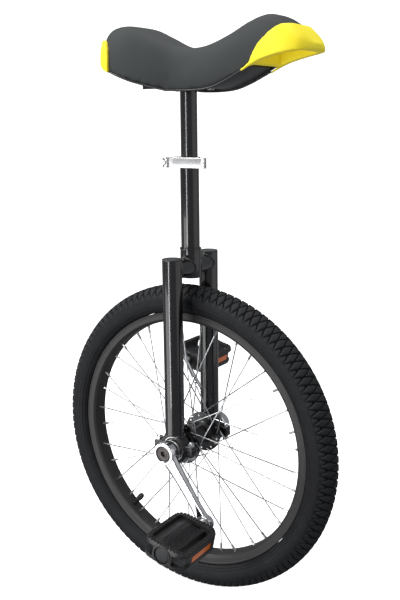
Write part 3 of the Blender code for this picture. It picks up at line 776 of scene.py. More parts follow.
def rounded(corners: Sequence[Numbers], closed: bool = True, steps: int = 4) -> list[Point]:
    """An outline with its corners rounded.

    Args:
        corners: (x, y) for a sharp corner, or (x, y, radius).
        closed: whether the last corner meets the first.
        steps: how many edges each round corner has.

    Returns:
        The outline's points.
    """
    outline = []
    count = len(corners)
    for index, corner in enumerate(corners):
        here = Vector(corner[:2])
        at_end = not closed and index in (0, count - 1)
        if len(corner) < 3 or at_end:
            outline.append(tuple(here))
            continue
        back = Vector(corners[index - 1][:2]) - here
        ahead = Vector(corners[(index + 1) % count][:2]) - here
        inside = back.angle(ahead)
        reach = min(corner[2] / math.tan(inside / 2), 0.48 * back.length, 0.48 * ahead.length)
        radius = reach * math.tan(inside / 2)
        back.normalize()
        ahead.normalize()
        centre = here + (back + ahead).normalized() * radius / math.sin(inside / 2)
        start = here + reach * back - centre
        end = here + reach * ahead - centre
        spread = start.angle(end)
        for step in range(steps + 1):
            part = step / steps
            swing = start * math.sin((1 - part) * spread) + end * math.sin(part * spread)
            outline.append(tuple(centre + swing / math.sin(spread)))
    return outline


def scaled(corners: Iterable[Numbers]) -> list[tuple[float, ...]]:
    """Corners in metres from corners in millimetres."""
    return [tuple(MM * size for size in corner) for corner in corners]


def at(x: float, y: float, z: float) -> Matrix:
    """A place at a point, not turned."""
    return Matrix.Translation((x, y, z))


def mirrored(half: Sequence[Numbers]) -> list[tuple[float, ...]]:
    """A closed outline from its half at positive heights, with the same corners at negative heights."""
    return list(half) + [(c[0], -c[1], *c[2:]) for c in reversed(half)]


def rectangle(half_x: float, half_y: float, radius: float) -> list[tuple[float, float, float]]:
    """A rectangle's corners with their radius, to be rounded."""
    return [(sx * half_x, sy * half_y, radius) for sx, sy in CORNERS]


def spline(stations: Sequence[Numbers], at: float) -> tuple[float, ...]:
    """Smooth values between stations.

    Args:
        stations: rows whose first number rises from row to row.
        at: the first number's value that is asked for.

    Returns:
        The other numbers there.
    """
    count = len(stations)
    index = max(0, min(count - 2, sum(1 for row in stations if row[0] <= at) - 1))
    rows = [stations[max(0, min(count - 1, index + shift))] for shift in (-1, 0, 1, 2)]
    start, end = rows[1][0], rows[2][0]
    span = end - start
    part = max(0.0, min(1.0, (at - start) / span))
    found = []
    for column in range(1, len(stations[0])):
        values = [row[column] for row in rows]
        leave = (values[2] - values[0]) / (rows[2][0] - rows[0][0]) * span
        arrive = (values[3] - values[1]) / (rows[3][0] - rows[1][0]) * span
        square, cube = part**2, part**3
        found.append(
            (2 * cube - 3 * square + 1) * values[1]
            + (cube - 2 * square + part) * leave
            + (3 * square - 2 * cube) * values[2]
            + (cube - square) * arrive
        )
    return tuple(found)


class Solid:
    """A mesh in the making: it is placed, cut, joined, softened and repeated before it is shown."""

    trees: dict[type, ShapeTree] = {}

    def __init__(self, shape: bmesh.types.BMesh, place: Matrix | None = None) -> None:
        """Takes over a bmesh.

        Args:
            shape: the bmesh, which is freed.
            place: where it goes.
        """
        bmesh.ops.remove_doubles(shape, verts=shape.verts, dist=0.002 * MM)
        if shape.faces:
            bmesh.ops.recalc_face_normals(shape, faces=shape.faces)
        mesh = bpy.data.meshes.new("shape")
        shape.to_mesh(mesh)
        shape.free()
        if place is not None:
            mesh.transform(place)
        self.thing = bpy.data.objects.new("shape", mesh)
        bpy.context.scene.collection.objects.link(self.thing)

    @classmethod
    def tree(cls, kind: type) -> ShapeTree:
        """The one tree of a kind.

        Args:
            kind: the tree's class.

        Returns:
            The tree, built the first time that it is asked for.
        """
        if kind not in cls.trees:
            cls.trees[kind] = kind()
        return cls.trees[kind]

    @classmethod
    def turned(cls, outline: Sequence[Point], place: Matrix | None = None, steps: int = 96,
            closed: bool = True) -> "Solid":
        """Turns (radius, height) points about Z.

        Args:
            outline: the points.
            place: where the solid goes.
            steps: how many flats it has round the axis.
            closed: whether the last point meets the first, as in a ring.

        Returns:
            The solid.
        """
        shape = bmesh.new()
        rings = []
        for step in range(steps):
            turn = TURN * step / steps
            rings.append([shape.verts.new((r * math.cos(turn), r * math.sin(turn), h)) for r, h in outline])
        last = len(outline) if closed else len(outline) - 1
        for ring, following in zip(rings, rings[1:] + rings[:1]):
            for index in range(last):
                after = (index + 1) % len(outline)
                shape.faces.new((ring[index], following[index], following[after], ring[after]))
        bmesh.ops.dissolve_degenerate(shape, edges=shape.edges, dist=0.001 * MM)
        return cls(shape, place)

    @classmethod
    def rod(cls, radius: float, low: float, high: float, place: Matrix | None = None,
            steps: int = 24) -> "Solid":
        """A cylinder about Z between two heights."""
        return cls.turned([(0, low), (radius, low), (radius, high), (0, high)], place, steps, closed=False)

    @classmethod
    def extruded(cls, outline: Sequence[Point], low: float, high: float,
            place: Matrix | None = None) -> "Solid":
        """A prism.

        Args:
            outline: its (x, y) points.
            low: its lower end.
            high: its upper end.
            place: where it goes.

        Returns:
            The prism.
        """
        shape = bmesh.new()
        base = shape.faces.new([shape.verts.new((x, y, low)) for x, y in outline])
        moved = bmesh.ops.extrude_face_region(shape, geom=[base])["geom"]
        corners = [item for item in moved if isinstance(item, bmesh.types.BMVert)]
        bmesh.ops.translate(shape, verts=corners, vec=(0, 0, high - low))
        return cls(shape, place)

    @classmethod
    def lofted(cls, rings: Sequence[Sequence[Vector]], place: Matrix | None = None,
            capped: bool = True) -> "Solid":
        """Joins rings of points, all of one count.

        Args:
            rings: the rings, in order.
            place: where the solid goes.
            capped: whether the two ends are closed; if not, the last ring meets the first.

        Returns:
            The solid.
        """
        shape = bmesh.new()
        loops = [[shape.verts.new(point) for point in ring] for ring in rings]
        following = loops[1:] if capped else loops[1:] + loops[:1]
        for first, second in zip(loops, following):
            for index, corner in enumerate(first):
                after = (index + 1) % len(first)
                shape.faces.new((corner, first[after], second[after], second[index]))
        if capped:
            shape.faces.new(loops[0])
            shape.faces.new(loops[-1])
        return cls(shape, place)

    @classmethod
    def tube(cls, path: Sequence[Vector], radius: float | Numbers, sides: int = 10,
            closed: bool = False) -> "Solid":
        """A round bar along a path.

        Args:
            path: the points that it follows.
            radius: its radius, or one at each point.
            sides: how many flats it has.
            closed: whether its end meets its start.

        Returns:
            The solid.
        """
        radii = [radius] * len(path) if isinstance(radius, float) else radius
        rings = []
        across = None
        for index, point in enumerate(path):
            before = path[index - 1] if closed or index else point
            after = path[(index + 1) % len(path)] if closed or index < len(path) - 1 else point
            along = (after - before).normalized()
            across = along.orthogonal() if across is None else across - across.dot(along) * along
            across.normalize()
            upright = along.cross(across)
            turns = [TURN * corner / sides for corner in range(sides)]
            rings.append([point + radii[index] * (math.cos(t) * across + math.sin(t) * upright)
                    for t in turns])
        return cls.lofted(rings, capped=not closed)

    @classmethod
    def block(cls, low: Numbers, high: Numbers, edge: float, place: Matrix | None = None) -> "Solid":
        """A block.

        Args:
            low: its lowest corner.
            high: its highest corner.
            edge: the radius of its edges.
            place: where it goes.

        Returns:
            The block.
        """
        shape = bmesh.new()
        size = Vector(high) - Vector(low)
        centre = (Vector(high) + Vector(low)) / 2
        bmesh.ops.create_cube(shape, size=1, matrix=Matrix.Translation(centre) @ Matrix.Diagonal((*size, 1)))
        if edge:
            bmesh.ops.bevel(shape, geom=shape.edges[:], offset=edge, segments=3, profile=0.5, affect="EDGES")
        return cls(shape, place)

    def settle(self) -> "Solid":
        """Turns the modifiers' result into a plain mesh.

        Returns:
            This solid.
        """
        graph = bpy.context.evaluated_depsgraph_get()
        mesh = bpy.data.meshes.new_from_object(self.thing.evaluated_get(graph))
        self.thing.modifiers.clear()
        self.thing.data = mesh
        return self

    def _combine(self, operation: str, others: Iterable["Solid"]) -> "Solid":
        """Runs exact Booleans and removes the other solids.

        Args:
            operation: the Boolean's operation.
            others: the solids to combine with.

        Returns:
            This solid.
        """
        others = list(others)
        for other in others:
            modifier = self.thing.modifiers.new("cut", "BOOLEAN")
            modifier.operation = operation
            modifier.solver = "EXACT"
            modifier.object = other.thing
        self.settle()
        for other in others:
            bpy.data.objects.remove(other.thing)
        return self

    def cut(self, *others: "Solid") -> "Solid":
        """Cuts the others away."""
        return self._combine("DIFFERENCE", others)

    def join(self, *others: "Solid") -> "Solid":
        """Joins the others on."""
        return self._combine("UNION", others)

    def keep(self, *others: "Solid") -> "Solid":
        """Keeps only what is inside the others."""
        return self._combine("INTERSECT", others)

    def add(self, *others: "Solid") -> "Solid":
        """Puts other solids in the same mesh, without cutting.

        Args:
            others: the solids, which are used up.

        Returns:
            This solid.
        """
        shape = bmesh.new()
        shape.from_mesh(self.thing.data)
        for other in others:
            shape.from_mesh(other.thing.data)
            bpy.data.objects.remove(other.thing)
        shape.to_mesh(self.thing.data)
        shape.free()
        return self

    def soften(self, width: float, segments: int = 2, angle: float = 35) -> "Solid":
        """Rounds every edge that is sharper than an angle.

        Args:
            width: how wide the round is.
            segments: how many faces it has.
            angle: the least angle between two faces, in degrees.

        Returns:
            This solid.
        """
        modifier = self.thing.modifiers.new("soften", "BEVEL")
        modifier.width = width
        modifier.segments = segments
        modifier.limit_method = "ANGLE"
        modifier.angle_limit = math.radians(angle)
        modifier.use_clamp_overlap = True
        return self.settle()

    def repeat(self, finish: Finish, count: int, turn: float = 0.0, axis: Numbers = (0, 1, 0),
            pivot: Numbers = (0, 0, 0), step: Numbers = (0, 0, 0)) -> "Solid":
        """Copies the solid along a row or round an axis.

        Args:
            finish: what the copies are made of.
            count: how many there are.
            turn: the angle from one to the next.
            axis: what they turn about.
            pivot: a point on the axis.
            step: how far it is from one to the next.

        Returns:
            This solid, now all the copies.
        """
        values = {
            "Count": count,
            "Turn": turn,
            "Axis": tuple(axis),
            "Pivot": tuple(pivot),
            "Step": tuple(step),
            "Material": finish.material(),
        }
        self.tree(RepeatTree).put_on(self.thing, values)
        return self.settle()

    def show(self, name: str, finish: Finish, body: Body, replaces: Iterable[str] = (),
            sharp: float = 40) -> bpy.types.Object:
        """Makes the solid a piece of the unicycle.

        Args:
            name: the piece's name.
            finish: what it is made of.
            body: what it moves with.
            replaces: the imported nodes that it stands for.
            sharp: edges sharper than this angle, in degrees, stay sharp.

        Returns:
            The finished object.
        """
        mesh = self.thing.data
        mesh.materials.clear()
        mesh.materials.append(finish.material())
        mesh.polygons.foreach_set("material_index", [0] * len(mesh.polygons))
        mesh.shade_smooth()
        mesh.set_sharp_from_angle(angle=math.radians(sharp))
        self.thing.name = name
        mesh.name = name
        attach(self.thing, body.value)
        if replaces:
            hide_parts(*replaces)
        LOG.info("%s rides on %s, %d faces", name, body.value, len(mesh.polygons))
        return self.thing


def weld(line: Sequence[Vector], radius: float, finish: Finish) -> Solid:
    """A weld bead along a closed line.

    Args:
        line: the points of the line.
        radius: the bead's radius.
        finish: what covers it.

    Returns:
        The bead.
    """
    shape = bmesh.new()
    points = [shape.verts.new(point) for point in line]
    for first, second in zip(points, points[1:] + points[:1]):
        shape.edges.new((first, second))
    bead = Solid(shape)
    values = {"Pitch": 0.7 * radius, "Radius": radius, "Material": finish.material()}
    Solid.tree(BeadTree).put_on(bead.thing, values)
    return bead.settle()


def hexagon(flats: float, low: float, high: float, chamfer: float) -> Solid:
    """A hexagonal head with turned corners.

    Args:
        flats: half the width across its flats.
        low: its lower face.
        high: its upper face.
        chamfer: how far the corners are turned down.

    Returns:
        The head.
    """
    tip = flats / math.cos(math.pi / 6)
    outline = [(tip * math.cos(TURN * k / 6), tip * math.sin(TURN * k / 6)) for k in range(6)]
    over = tip + 0.1 * MM
    cone = [(0, low), (flats, low), (over, low + chamfer), (over, high - chamfer), (flats, high), (0, high)]
    return Solid.extruded(outline, low, high).keep(Solid.turned(cone, None, 48, closed=False))


BLACK_PAINT = GlossPaint("gloss_black_enamel", Slot.BLACK_PAINT, (0.003, 0.003, 0.0036))
CAST_BLACK = CastPaint("black_casting", Slot.CAST_BLACK, (0.004, 0.004, 0.005))
ANODISED = Anodised("dark_anodised", Slot.ANODISED, (0.034, 0.033, 0.033))
TYRE = Casing("tyre_side_rubber", Slot.TYRE_RUBBER, (0.0085, 0.009, 0.0105), (0.02, 0.0215, 0.0245))
TREAD = Rubber("tyre_tread_rubber", Slot.TYRE_RUBBER, (0.013, 0.0138, 0.0155), (0.03, 0.0315, 0.034))
TUBE = Rubber("tube_rubber", Slot.TYRE_RUBBER, (0.006, 0.006, 0.0065), (0.012, 0.012, 0.013))
CHROME = Metal("chrome_plate", Slot.CHROME, (0.88, 0.88, 0.9), 0.05, 0.06)
STEEL = Metal("bearing_steel", Slot.BEARING_STEEL, (0.62, 0.62, 0.63), 0.2, 0.12)
SPOKE = Metal("spoke_steel", Slot.BEARING_STEEL, (0.6, 0.61, 0.62), 0.24, 0.1, cell=120)
DARK_STEEL = Metal("dark_steel", Slot.DARK_STEEL, (0.2, 0.165, 0.16), 0.3, 0.14)
BRIGHT = Metal("bright_lever", Slot.CHROME, (0.95, 0.95, 0.95), 0.24, 0.08)
LEVER_TIP = Plastic("lever_tip", Slot.CHROME, (0.3, 0.3, 0.3), 0.4, lift=1.2)
PEDAL_PLASTIC = Plastic("pedal_plastic", Slot.BLACK_PLASTIC, (0.015, 0.015, 0.016), 0.3)
CAP_PLASTIC = Plastic("cap_plastic", Slot.BLACK_PLASTIC, (0.014, 0.0145, 0.016), 0.5)
LEG_CAP_PLASTIC = Plastic("leg_cap_plastic", Slot.BLACK_PLASTIC, (0.05, 0.052, 0.054), 0.5, lift=1.3)
BASE_PLASTIC = Plastic("base_plastic", Slot.BLACK_PLASTIC, (0.003, 0.003, 0.0034), 0.3, 900, 0.04)
COVER = Cover("saddle_cover", Slot.SADDLE_COVER, (0.004, 0.0046, 0.0062), (0.0075, 0.0086, 0.0112))
YELLOW = BrightPlastic("yellow_bumper", Slot.YELLOW_PLASTIC, (1.0, 0.86, 0.05))
ORANGE = Lens("orange_reflector", Slot.ORANGE_PLASTIC, (0.8, 0.1, 0.002))


# Wheel


@dataclass
class Tyre:
    """The tyre: a casing with moulded rings and a tread of separate blocks."""

    circle: float = 228 * MM
    section: float = 24 * MM
    casing: float = 22.4 * MM
    wall: float = 3.6 * MM
    bead_angle: float = 137
    pitches: int = 120
    shoulder: float = 92
    corner: float = 75
    middle: float = 37.5
    rings: tuple = ((92, 1.0, -0.7), (102, 0.7, 0.35), (114.6, 1.1, 0.55), (125.7, 1.4, 0.7))

    def outer(self, angle: float) -> float:
        """The casing's radius at an angle, in degrees, from the tread's middle.

        Args:
            angle: the angle.

        Returns:
            The radius from the middle of the section.
        """
        part = max(0.0, min(1.0, (abs(angle) - 60) / 15))
        radius = self.casing + (self.section - self.casing) * part * part * (3 - 2 * part)
        for place, half, height in self.rings:
            away = abs(abs(angle) - place) / half
            if away < 1:
                radius += height * MM * (1 - away**2) ** 2
        return radius

    def across(self, angle: float, radius: float) -> Point:
        """The distance from the axle and the y of a point of the section."""
        turn = math.radians(angle)
        return self.circle + radius * math.cos(turn), radius * math.sin(turn)

    def make_casing(self) -> None:
        """Turns the casing's section about the axle."""
        angles = [-self.bead_angle + 0.5 * step for step in range(int(4 * self.bead_angle) + 1)]
        kept = [a for a in angles if abs(a) > 88 or a % 4 == 0]
        outside = [self.across(angle, self.outer(angle)) for angle in kept]
        inside = [self.across(angle, self.section - self.wall) for angle in range(130, -131, -10)]
        casing = Solid.turned(outside + inside, along_axle(), 160)
        casing.show("tyre_casing", TYRE, Body.WHEEL, ["tyre"])

    def on_tread(self, angle: float, along: float, radius: float) -> Vector:
        """A point of the tread at a section angle and a number of pitches round the wheel."""
        distance, y = self.across(angle, radius)
        return on_wheel(distance, TURN * along / self.pitches, y)

    def block(self, shape: bmesh.types.BMesh, place: Callable[[float, float], Point]) -> None:
        """Adds one block of the tread.

        Args:
            shape: the bmesh that gets it.
            place: the section angle and the pitch at each pair of parts from 0 to 1.
        """
        parts = (0, 0.07, 0.36, 0.64, 0.93, 1)
        last = len(parts) - 1
        grid = []
        for row, down in enumerate(parts):
            line = []
            for column, across in enumerate(parts):
                edge = row in (0, last) or column in (0, last)
                radius = self.section - (0.35 * MM if edge else 0)
                line.append(shape.verts.new(self.on_tread(*place(down, across), radius)))
            grid.append(line)
        for first, second in zip(grid, grid[1:]):
            for index in range(last):
                shape.faces.new((first[index], first[index + 1], second[index + 1], second[index]))
        border = grid[0][:-1] + [line[-1]
                for line in grid[:-1]] + grid[-1][:0:-1] + [line[0] for line in grid[:0:-1]]
        middle = sum((vert.co for vert in border), Vector()) / len(border)
        inward = (Vector((0, 0, AXLE.z)) - middle) * Vector((1, 0, 1))
        foot = []
        for vert in border:
            low = vert.co + inward.normalized() * 2.3 * MM + (vert.co - middle) * 0.03
            foot.append(shape.verts.new(low))
        for index in range(len(border)):
            after = (index + 1) % len(border)
            shape.faces.new((border[index], border[after], foot[after], foot[index]))
        shape.faces.new(foot)

    def diamond(self, shape: bmesh.types.BMesh, corners: Sequence[Point]) -> None:
        """Adds a diamond block, drawn in from its four corners by half a groove.

        Args:
            shape: the bmesh that gets it.
            corners: the section angle and pitch of each corner.
        """
        middle = [sum(corner[axis] for corner in corners) / 4 for axis in (0, 1)]
        kept = 0.82
        a, b, c, d = [[middle[k] + kept * (corner[k] - middle[k]) for k in (0, 1)] for corner in corners]

        def place(down: float, across: float) -> Point:
            """The bilinear point between the corners."""
            top = [a[k] + across * (b[k] - a[k]) for k in (0, 1)]
            low = [d[k] + across * (c[k] - d[k]) for k in (0, 1)]
            return tuple(top[k] + down * (low[k] - top[k]) for k in (0, 1))

        self.block(shape, place)

    def make_tread(self) -> None:
        """Builds one pitch of the tread and repeats it round the wheel."""
        shape = bmesh.new()
        for sign in (1, -1):
            corner, middle = sign * self.corner, sign * self.middle
            self.diamond(shape, [(corner, 0), (middle, 0.5), (0, 0), (middle, -0.5)])

            def shoulder(down: float, across: float) -> Point:
                """The shoulder block, whose inner edge is a notch."""
                notch = abs(2 * across - 1)
                top = self.middle + 6 + (self.corner - self.middle) * notch
                return sign * (self.shoulder - 1 - down * (self.shoulder - 1 - top)), 0.07 + 0.86 * across

            self.block(shape, shoulder)
        self.diamond(shape, [(self.middle, 0.5), (0, 0), (-self.middle, 0.5), (0, 1)])
        tread = Solid(shape)
        tread.repeat(TREAD, self.pitches, TURN / self.pitches, pivot=AXLE)
        tread.show("tyre_tread", TREAD, Body.WHEEL, sharp=30)

    def make(self) -> None:
        """Builds the casing and its tread."""
        self.make_casing()
        self.make_tread()


@dataclass
class Rim:
    """The rim with its valve, and the inner tube."""

    valve_angle: float = math.radians(-130)
    valve_low: float = 167 * MM
    tube_circle: float = 226 * MM

    def valve_axis(self) -> Vector:
        """The way from the axle to the valve."""
        return on_wheel(1, self.valve_angle, 0) - AXLE

    def valve_place(self) -> Matrix:
        """The place on the axle whose Z axis points to the valve."""
        return aimed(AXLE, self.valve_axis(), (0, 1, 0))

    def make_rim(self) -> None:
        """Turns the rim's section and drills the valve hole."""
        half = [
            (193.5, 0.0), (193.7, 6), (194.3, 12.0, 2.4), (198.5, 15.2, 1.8), (206, 15.2, 0.6),
            (207, 15.75, 0.5),
            (209.6, 15.75, 0.6), (209.5, 14.2, 0.5), (203.2, 13.9, 1.2), (202.8, 0.0),
        ]
        outline = rounded(mirrored(scaled(half[1:-1])), steps=3)
        rim = Solid.turned(outline, along_axle(), 192)
        hole = Solid.rod(4.1 * MM, 0.185, 0.215, self.valve_place())
        rim.cut(hole).show("rim_ring", ANODISED, Body.WHEEL, ["rim"])

    def make_valve(self) -> None:
        """Builds the inner tube, its valve stem and the ribbed cap."""
        inward = self.valve_place()
        tube_low = self.tube_circle - 16 * MM
        outline = [(self.tube_circle + 16 * MM * math.cos(t), 16 * MM * math.sin(t)) for t in
                (TURN * step / 24 for step in range(24))]
        tube = Solid.turned(outline, along_axle(), 96)
        stem = rounded(
            [(0, 181 * MM), (3.2 * MM, 181 * MM), (3.9 * MM, 192.64 * MM), (4 * MM, 202 * MM),
             (9 * MM, 205 * MM, 1 * MM), (9 * MM, tube_low + MM), (0, tube_low + MM)], False)
        tube.add(Solid.turned(stem, inward, 32, closed=False))
        tube.show("inner_tube_rubber", TUBE, Body.WHEEL, ["inner_tube"])
        low = self.valve_low
        cap = rounded(
            [(0, low), (3.4 * MM, low, 1 * MM), (4.5 * MM, low + 2 * MM, 1 * MM),
             (4.5 * MM, low + 13 * MM, 0.5 * MM),
             (3.3 * MM, low + 13.6 * MM), (0, low + 13.6 * MM)], False)
        body = Solid.turned(cap, inward, 32, closed=False)
        rib = Solid.tube([inward @ Vector((4.5 * MM, 0, low + height * MM))
                for height in (3, 3.6, 11.6, 12.2)],
                [0.2 * MM, 0.5 * MM, 0.5 * MM, 0.2 * MM], 6)
        rib.repeat(CAP_PLASTIC, 12, TURN / 12, self.valve_axis(), AXLE)
        body.add(rib).show("valve_dust_cap", CAP_PLASTIC, Body.WHEEL, ["valve_cap"])

    def make(self) -> None:
        """Builds the rim and the tube."""
        self.make_rim()
        self.make_valve()


@dataclass
class Spokes:
    """Thirty-six spokes laced three cross, each with an elbow, a head and a nipple."""

    per_side: int = 18
    cross: float = math.radians(60)
    circle: float = 28 * MM
    flange: float = 30 * MM
    radius: float = 1 * MM
    rim_y: float = 3.5 * MM
    rim_radius: float = 193.9 * MM

    def first(self, side: Side) -> float:
        """The angle of a side's first nipple."""
        return math.radians(15 if side is Side.RIGHT else 5)

    def spoke(self, side: Side, rim_angle: float, lean: int) -> Solid:
        """One spoke.

        Args:
            side: the flange that it hangs from.
            rim_angle: where its nipple is.
            lean: 1 if its hub hole is further round than its nipple, and -1 if it is less far round; the
                elbow of the first kind is on the flange's outer face.

        Returns:
            The wire with its nipple.
        """
        hole = rim_angle + lean * self.cross
        head = on_wheel(self.circle, hole, side.sign * (self.flange - lean * 2.5 * MM))
        bend = on_wheel(self.circle, hole, side.sign * (self.flange + lean * 2.7 * MM))
        rim_end = on_wheel(self.rim_radius, rim_angle, side.sign * self.rim_y)
        along = (rim_end - bend).normalized()
        through = (bend - head).normalized()
        path = [head, head + 0.5 * MM * through, head + 0.9 * MM * through, head + 1.1 * MM * through]
        radii = [1.5 * MM, 1.9 * MM, 1.4 * MM, self.radius]
        start = bend - 2 * MM * through
        end = bend + 2.2 * MM * along
        for step in range(5):
            part = step / 4
            path.append((1 - part) ** 2 * start + 2 * part * (1 - part) * bend + part**2 * end)
            radii.append(self.radius)
        path.append(rim_end - 11 * MM * along)
        radii.append(self.radius)
        wire = Solid.tube(path, radii, 8)
        nipple = [rim_end - 12 * MM * along, rim_end - 11.6 * MM * along, rim_end - 4 * MM * along,
                rim_end - 3 * MM * along, rim_end]
        return wire.add(Solid.tube(nipple, [1.3 * MM, 1.8 * MM, 1.8 * MM, 2.1 * MM, 2.1 * MM], 8))

    def make(self) -> None:
        """Builds both sides' spokes from one spoke of each of the four sets."""
        pitch = TURN / self.per_side
        for side in Side:
            sets = []
            for lean in (1, -1):
                start = 1 if (lean > 0) == (side is Side.RIGHT) else 0
                spoke = self.spoke(side, self.first(side) + start * pitch, lean)
                spoke.repeat(SPOKE, self.per_side // 2, -2 * pitch, pivot=AXLE)
                sets.append(spoke)
            sets[0].add(sets[1]).show(f"laced_spokes_{side.word}", SPOKE, Body.WHEEL,
                    [f"spokes_{side.word}"])


@dataclass
class Hub:
    """The hub shell with its flanges and axle, the two bearings and their holders."""

    bearing_y: float = 50 * MM
    holder_radius: float = 25 * MM
    bore: float = 20.3 * MM
    holder_half: float = 9 * MM
    ear_half: float = 7 * MM
    ear_height: float = 8 * MM
    bolt_x: float = 30 * MM
    split: float = 0.6 * MM
    balls: int = 8
    ball_circle: float = 14.5 * MM
    spokes: Spokes = field(default_factory=Spokes)

    def make_shell(self) -> None:
        """Turns the shell and drills the flanges for the spokes."""
        half = [
            (15.5, 22.0, 3), (19, 26.5, 2.5), (33, 28.5, 0.8), (33, 31.5, 0.8), (24, 31.5, 1),
            (22, 33.5, 1.5),
            (14, 35.0, 2), (13, 38, 0.8), (11, 43.7, 0.4), (8.2, 43.7), (8.2, 57, 0.5), (0, 57),
        ]
        corners = scaled(half)
        outline = [(c[0], -c[1], *c[2:]) for c in reversed(corners)] + corners
        hub = Solid.turned(rounded(outline, False, 4), along_axle(), 96, closed=False)
        drills = []
        for side in Side:
            hole = self.spokes.first(side) + self.spokes.cross
            place = aimed(on_wheel(self.spokes.circle, hole, side.sign * self.spokes.flange), (0, 1, 0))
            drill = Solid.rod(1.4 * MM, -3 * MM, 3 * MM, place, 10)
            drills.append(drill.repeat(CAST_BLACK, self.spokes.per_side, TURN / self.spokes.per_side,
                    pivot=AXLE))
        hub.cut(*drills)
        for side in Side:
            out = side.sign
            square = [[Vector((sx * size * MM, out * y * MM, AXLE.z + sz * size * MM))
                    for sx, sz in CORNERS] for size, y in ((7.1, 56.5), (6.6, 75))]
            hub.add(Solid.lofted(square).soften(0.5 * MM))
        hub.show("hub_shell", CAST_BLACK, Body.WHEEL, ["hub"])

    def make_bearing(self, side: Side) -> None:
        """Builds a side's rings and its balls in their cage.

        Args:
            side: which bearing.
        """
        here = along_axle(side.sign * self.bearing_y)
        for kind, low, high, body in (("outer", 17, 20, Body.FRAME), ("inner", 8.5, 12, Body.WHEEL)):
            corners = [(low, -6, 0.5), (high, -6, 0.9), (high, 6, 0.9), (low, 6, 0.5)]
            outline = rounded(scaled(corners), steps=3)
            ring = Solid.turned(outline, here, 96)
            ring.show(f"bearing_{kind}_{side.word}", STEEL, body, [f"bearing_{kind}_ring_{side.word}"])
        shape = bmesh.new()
        middle = here @ Vector((self.ball_circle, 0, 0))
        bmesh.ops.create_uvsphere(shape, u_segments=16, v_segments=10, radius=2.2 * MM,
                matrix=Matrix.Translation(middle))
        balls = Solid(shape).repeat(STEEL, self.balls, TURN / self.balls, pivot=AXLE)
        band = [(13.9, -3.2, 0.3), (15.1, -3.2, 0.3), (15.1, 3.2, 0.3), (13.9, 3.2, 0.3)]
        cage = Solid.turned(rounded(scaled(band), steps=2), here, 64)
        cage.add(balls).show(f"bearing_cage_{side.word}", STEEL, side.balls, [f"bearing_balls_{side.word}"])

    def make_holder(self, side: Side, upper: bool) -> None:
        """Builds half of a bearing holder.

        Args:
            side: which bearing.
            upper: whether it is the half on the leg.
        """
        y = side.sign * self.bearing_y
        sign = 1 if upper else -1
        low, high = self.bore, self.holder_radius
        edge = 1.2 * MM
        step = 1.5 * MM
        corners = [
            (low, -self.holder_half, 0.6 * MM), (high - step, -self.holder_half, edge),
            (high - step, 0.8 * MM - self.holder_half, 0.3 * MM), (high, 1.6 * MM - self.holder_half, edge),
            (high, self.holder_half - 1.6 * MM, edge), (high - step, self.holder_half - 0.8 * MM, 0.3 * MM),
            (high - step, self.holder_half, edge), (low, self.holder_half, 0.6 * MM),
        ]
        holder = Solid.turned(rounded(corners, steps=3), along_axle(y), 96)
        ears = []
        for end in (1, -1):
            outline = rounded([(22.5 * MM, -3 * MM), (36 * MM, -3 * MM),
                    (36 * MM, self.ear_height, 2.2 * MM),
                    (22.5 * MM, self.ear_height + 1.2 * MM)])
            outline = [(end * x, sign * z) for x, z in outline]
            ear = Solid.extruded(outline, -self.ear_half, self.ear_half, aimed((0, y, AXLE.z), (0, -1, 0)))
            ears.append(ear.soften(1.1 * MM, 3))
        bores = [Solid.rod(low, -0.05, 0.05, along_axle(y), 96)]
        for end in (1, -1):
            place = at(end * self.bolt_x, y, AXLE.z)
            bores.append(Solid.rod(3.6 * MM, -0.03, 0.03, place))
        away = sorted((sign * self.split, -sign * 60 * MM))
        other = Solid.block((-0.06, -0.06, away[0]), (0.06, 0.06, away[1]), 0, at(0, y, AXLE.z))
        holder.join(*ears).cut(*bores, other)
        word = "seat" if upper else "cap"
        name = "upper" if upper else "lower"
        holder.show(f"holder_{name}_{side.word}", CAST_BLACK, Body.FRAME, [f"bearing_{word}_{side.word}"])

    def make_fasteners(self, side: Side) -> None:
        """Builds the bolts and nuts that close a holder.

        Args:
            side: which bearing.
        """
        for word, end in (("front", 1), ("rear", -1)):
            place = at(end * self.bolt_x, side.sign * self.bearing_y, AXLE.z)
            ear = self.ear_height
            nut = hexagon(5 * MM, ear + 0.3 * MM, ear + 5.3 * MM, 0.7 * MM)
            nut.cut(Solid.rod(3.2 * MM, 0, 0.02))
            nut.thing.data.transform(place)
            nut.show(f"holder_nut_{side.word}_{word}", CHROME, Body.FRAME, [f"cap_nut_{side.word}_{word}"])
            head = hexagon(4.4 * MM, -ear - 5.3 * MM, -ear - 0.3 * MM, 0.7 * MM)
            top = ear + 6.5 * MM
            shank = [(0, -ear - MM), (3 * MM, -ear - MM), (3 * MM, ear - 2 * MM)]
            ridge = ear - 2 * MM
            while ridge < top - 1 * MM:
                shank += [(3.05 * MM, ridge + 0.1 * MM), (2.6 * MM, ridge + 0.5 * MM)]
                ridge += 0.9 * MM
            shank += [(2.7 * MM, top - 0.4 * MM), (2.3 * MM, top), (0, top)]
            head.add(Solid.turned(shank, None, 24, closed=False))
            head.thing.data.transform(place)
            head.show(f"holder_bolt_{side.word}_{word}", CHROME, Body.FRAME,
                    [f"cap_bolt_{side.word}_{word}"])

    def make(self) -> None:
        """Builds the hub and both bearings."""
        self.make_shell()
        for side in Side:
            self.make_bearing(side)
            self.make_holder(side, True)
            self.make_holder(side, False)
            self.make_fasteners(side)


# Frame and clamp


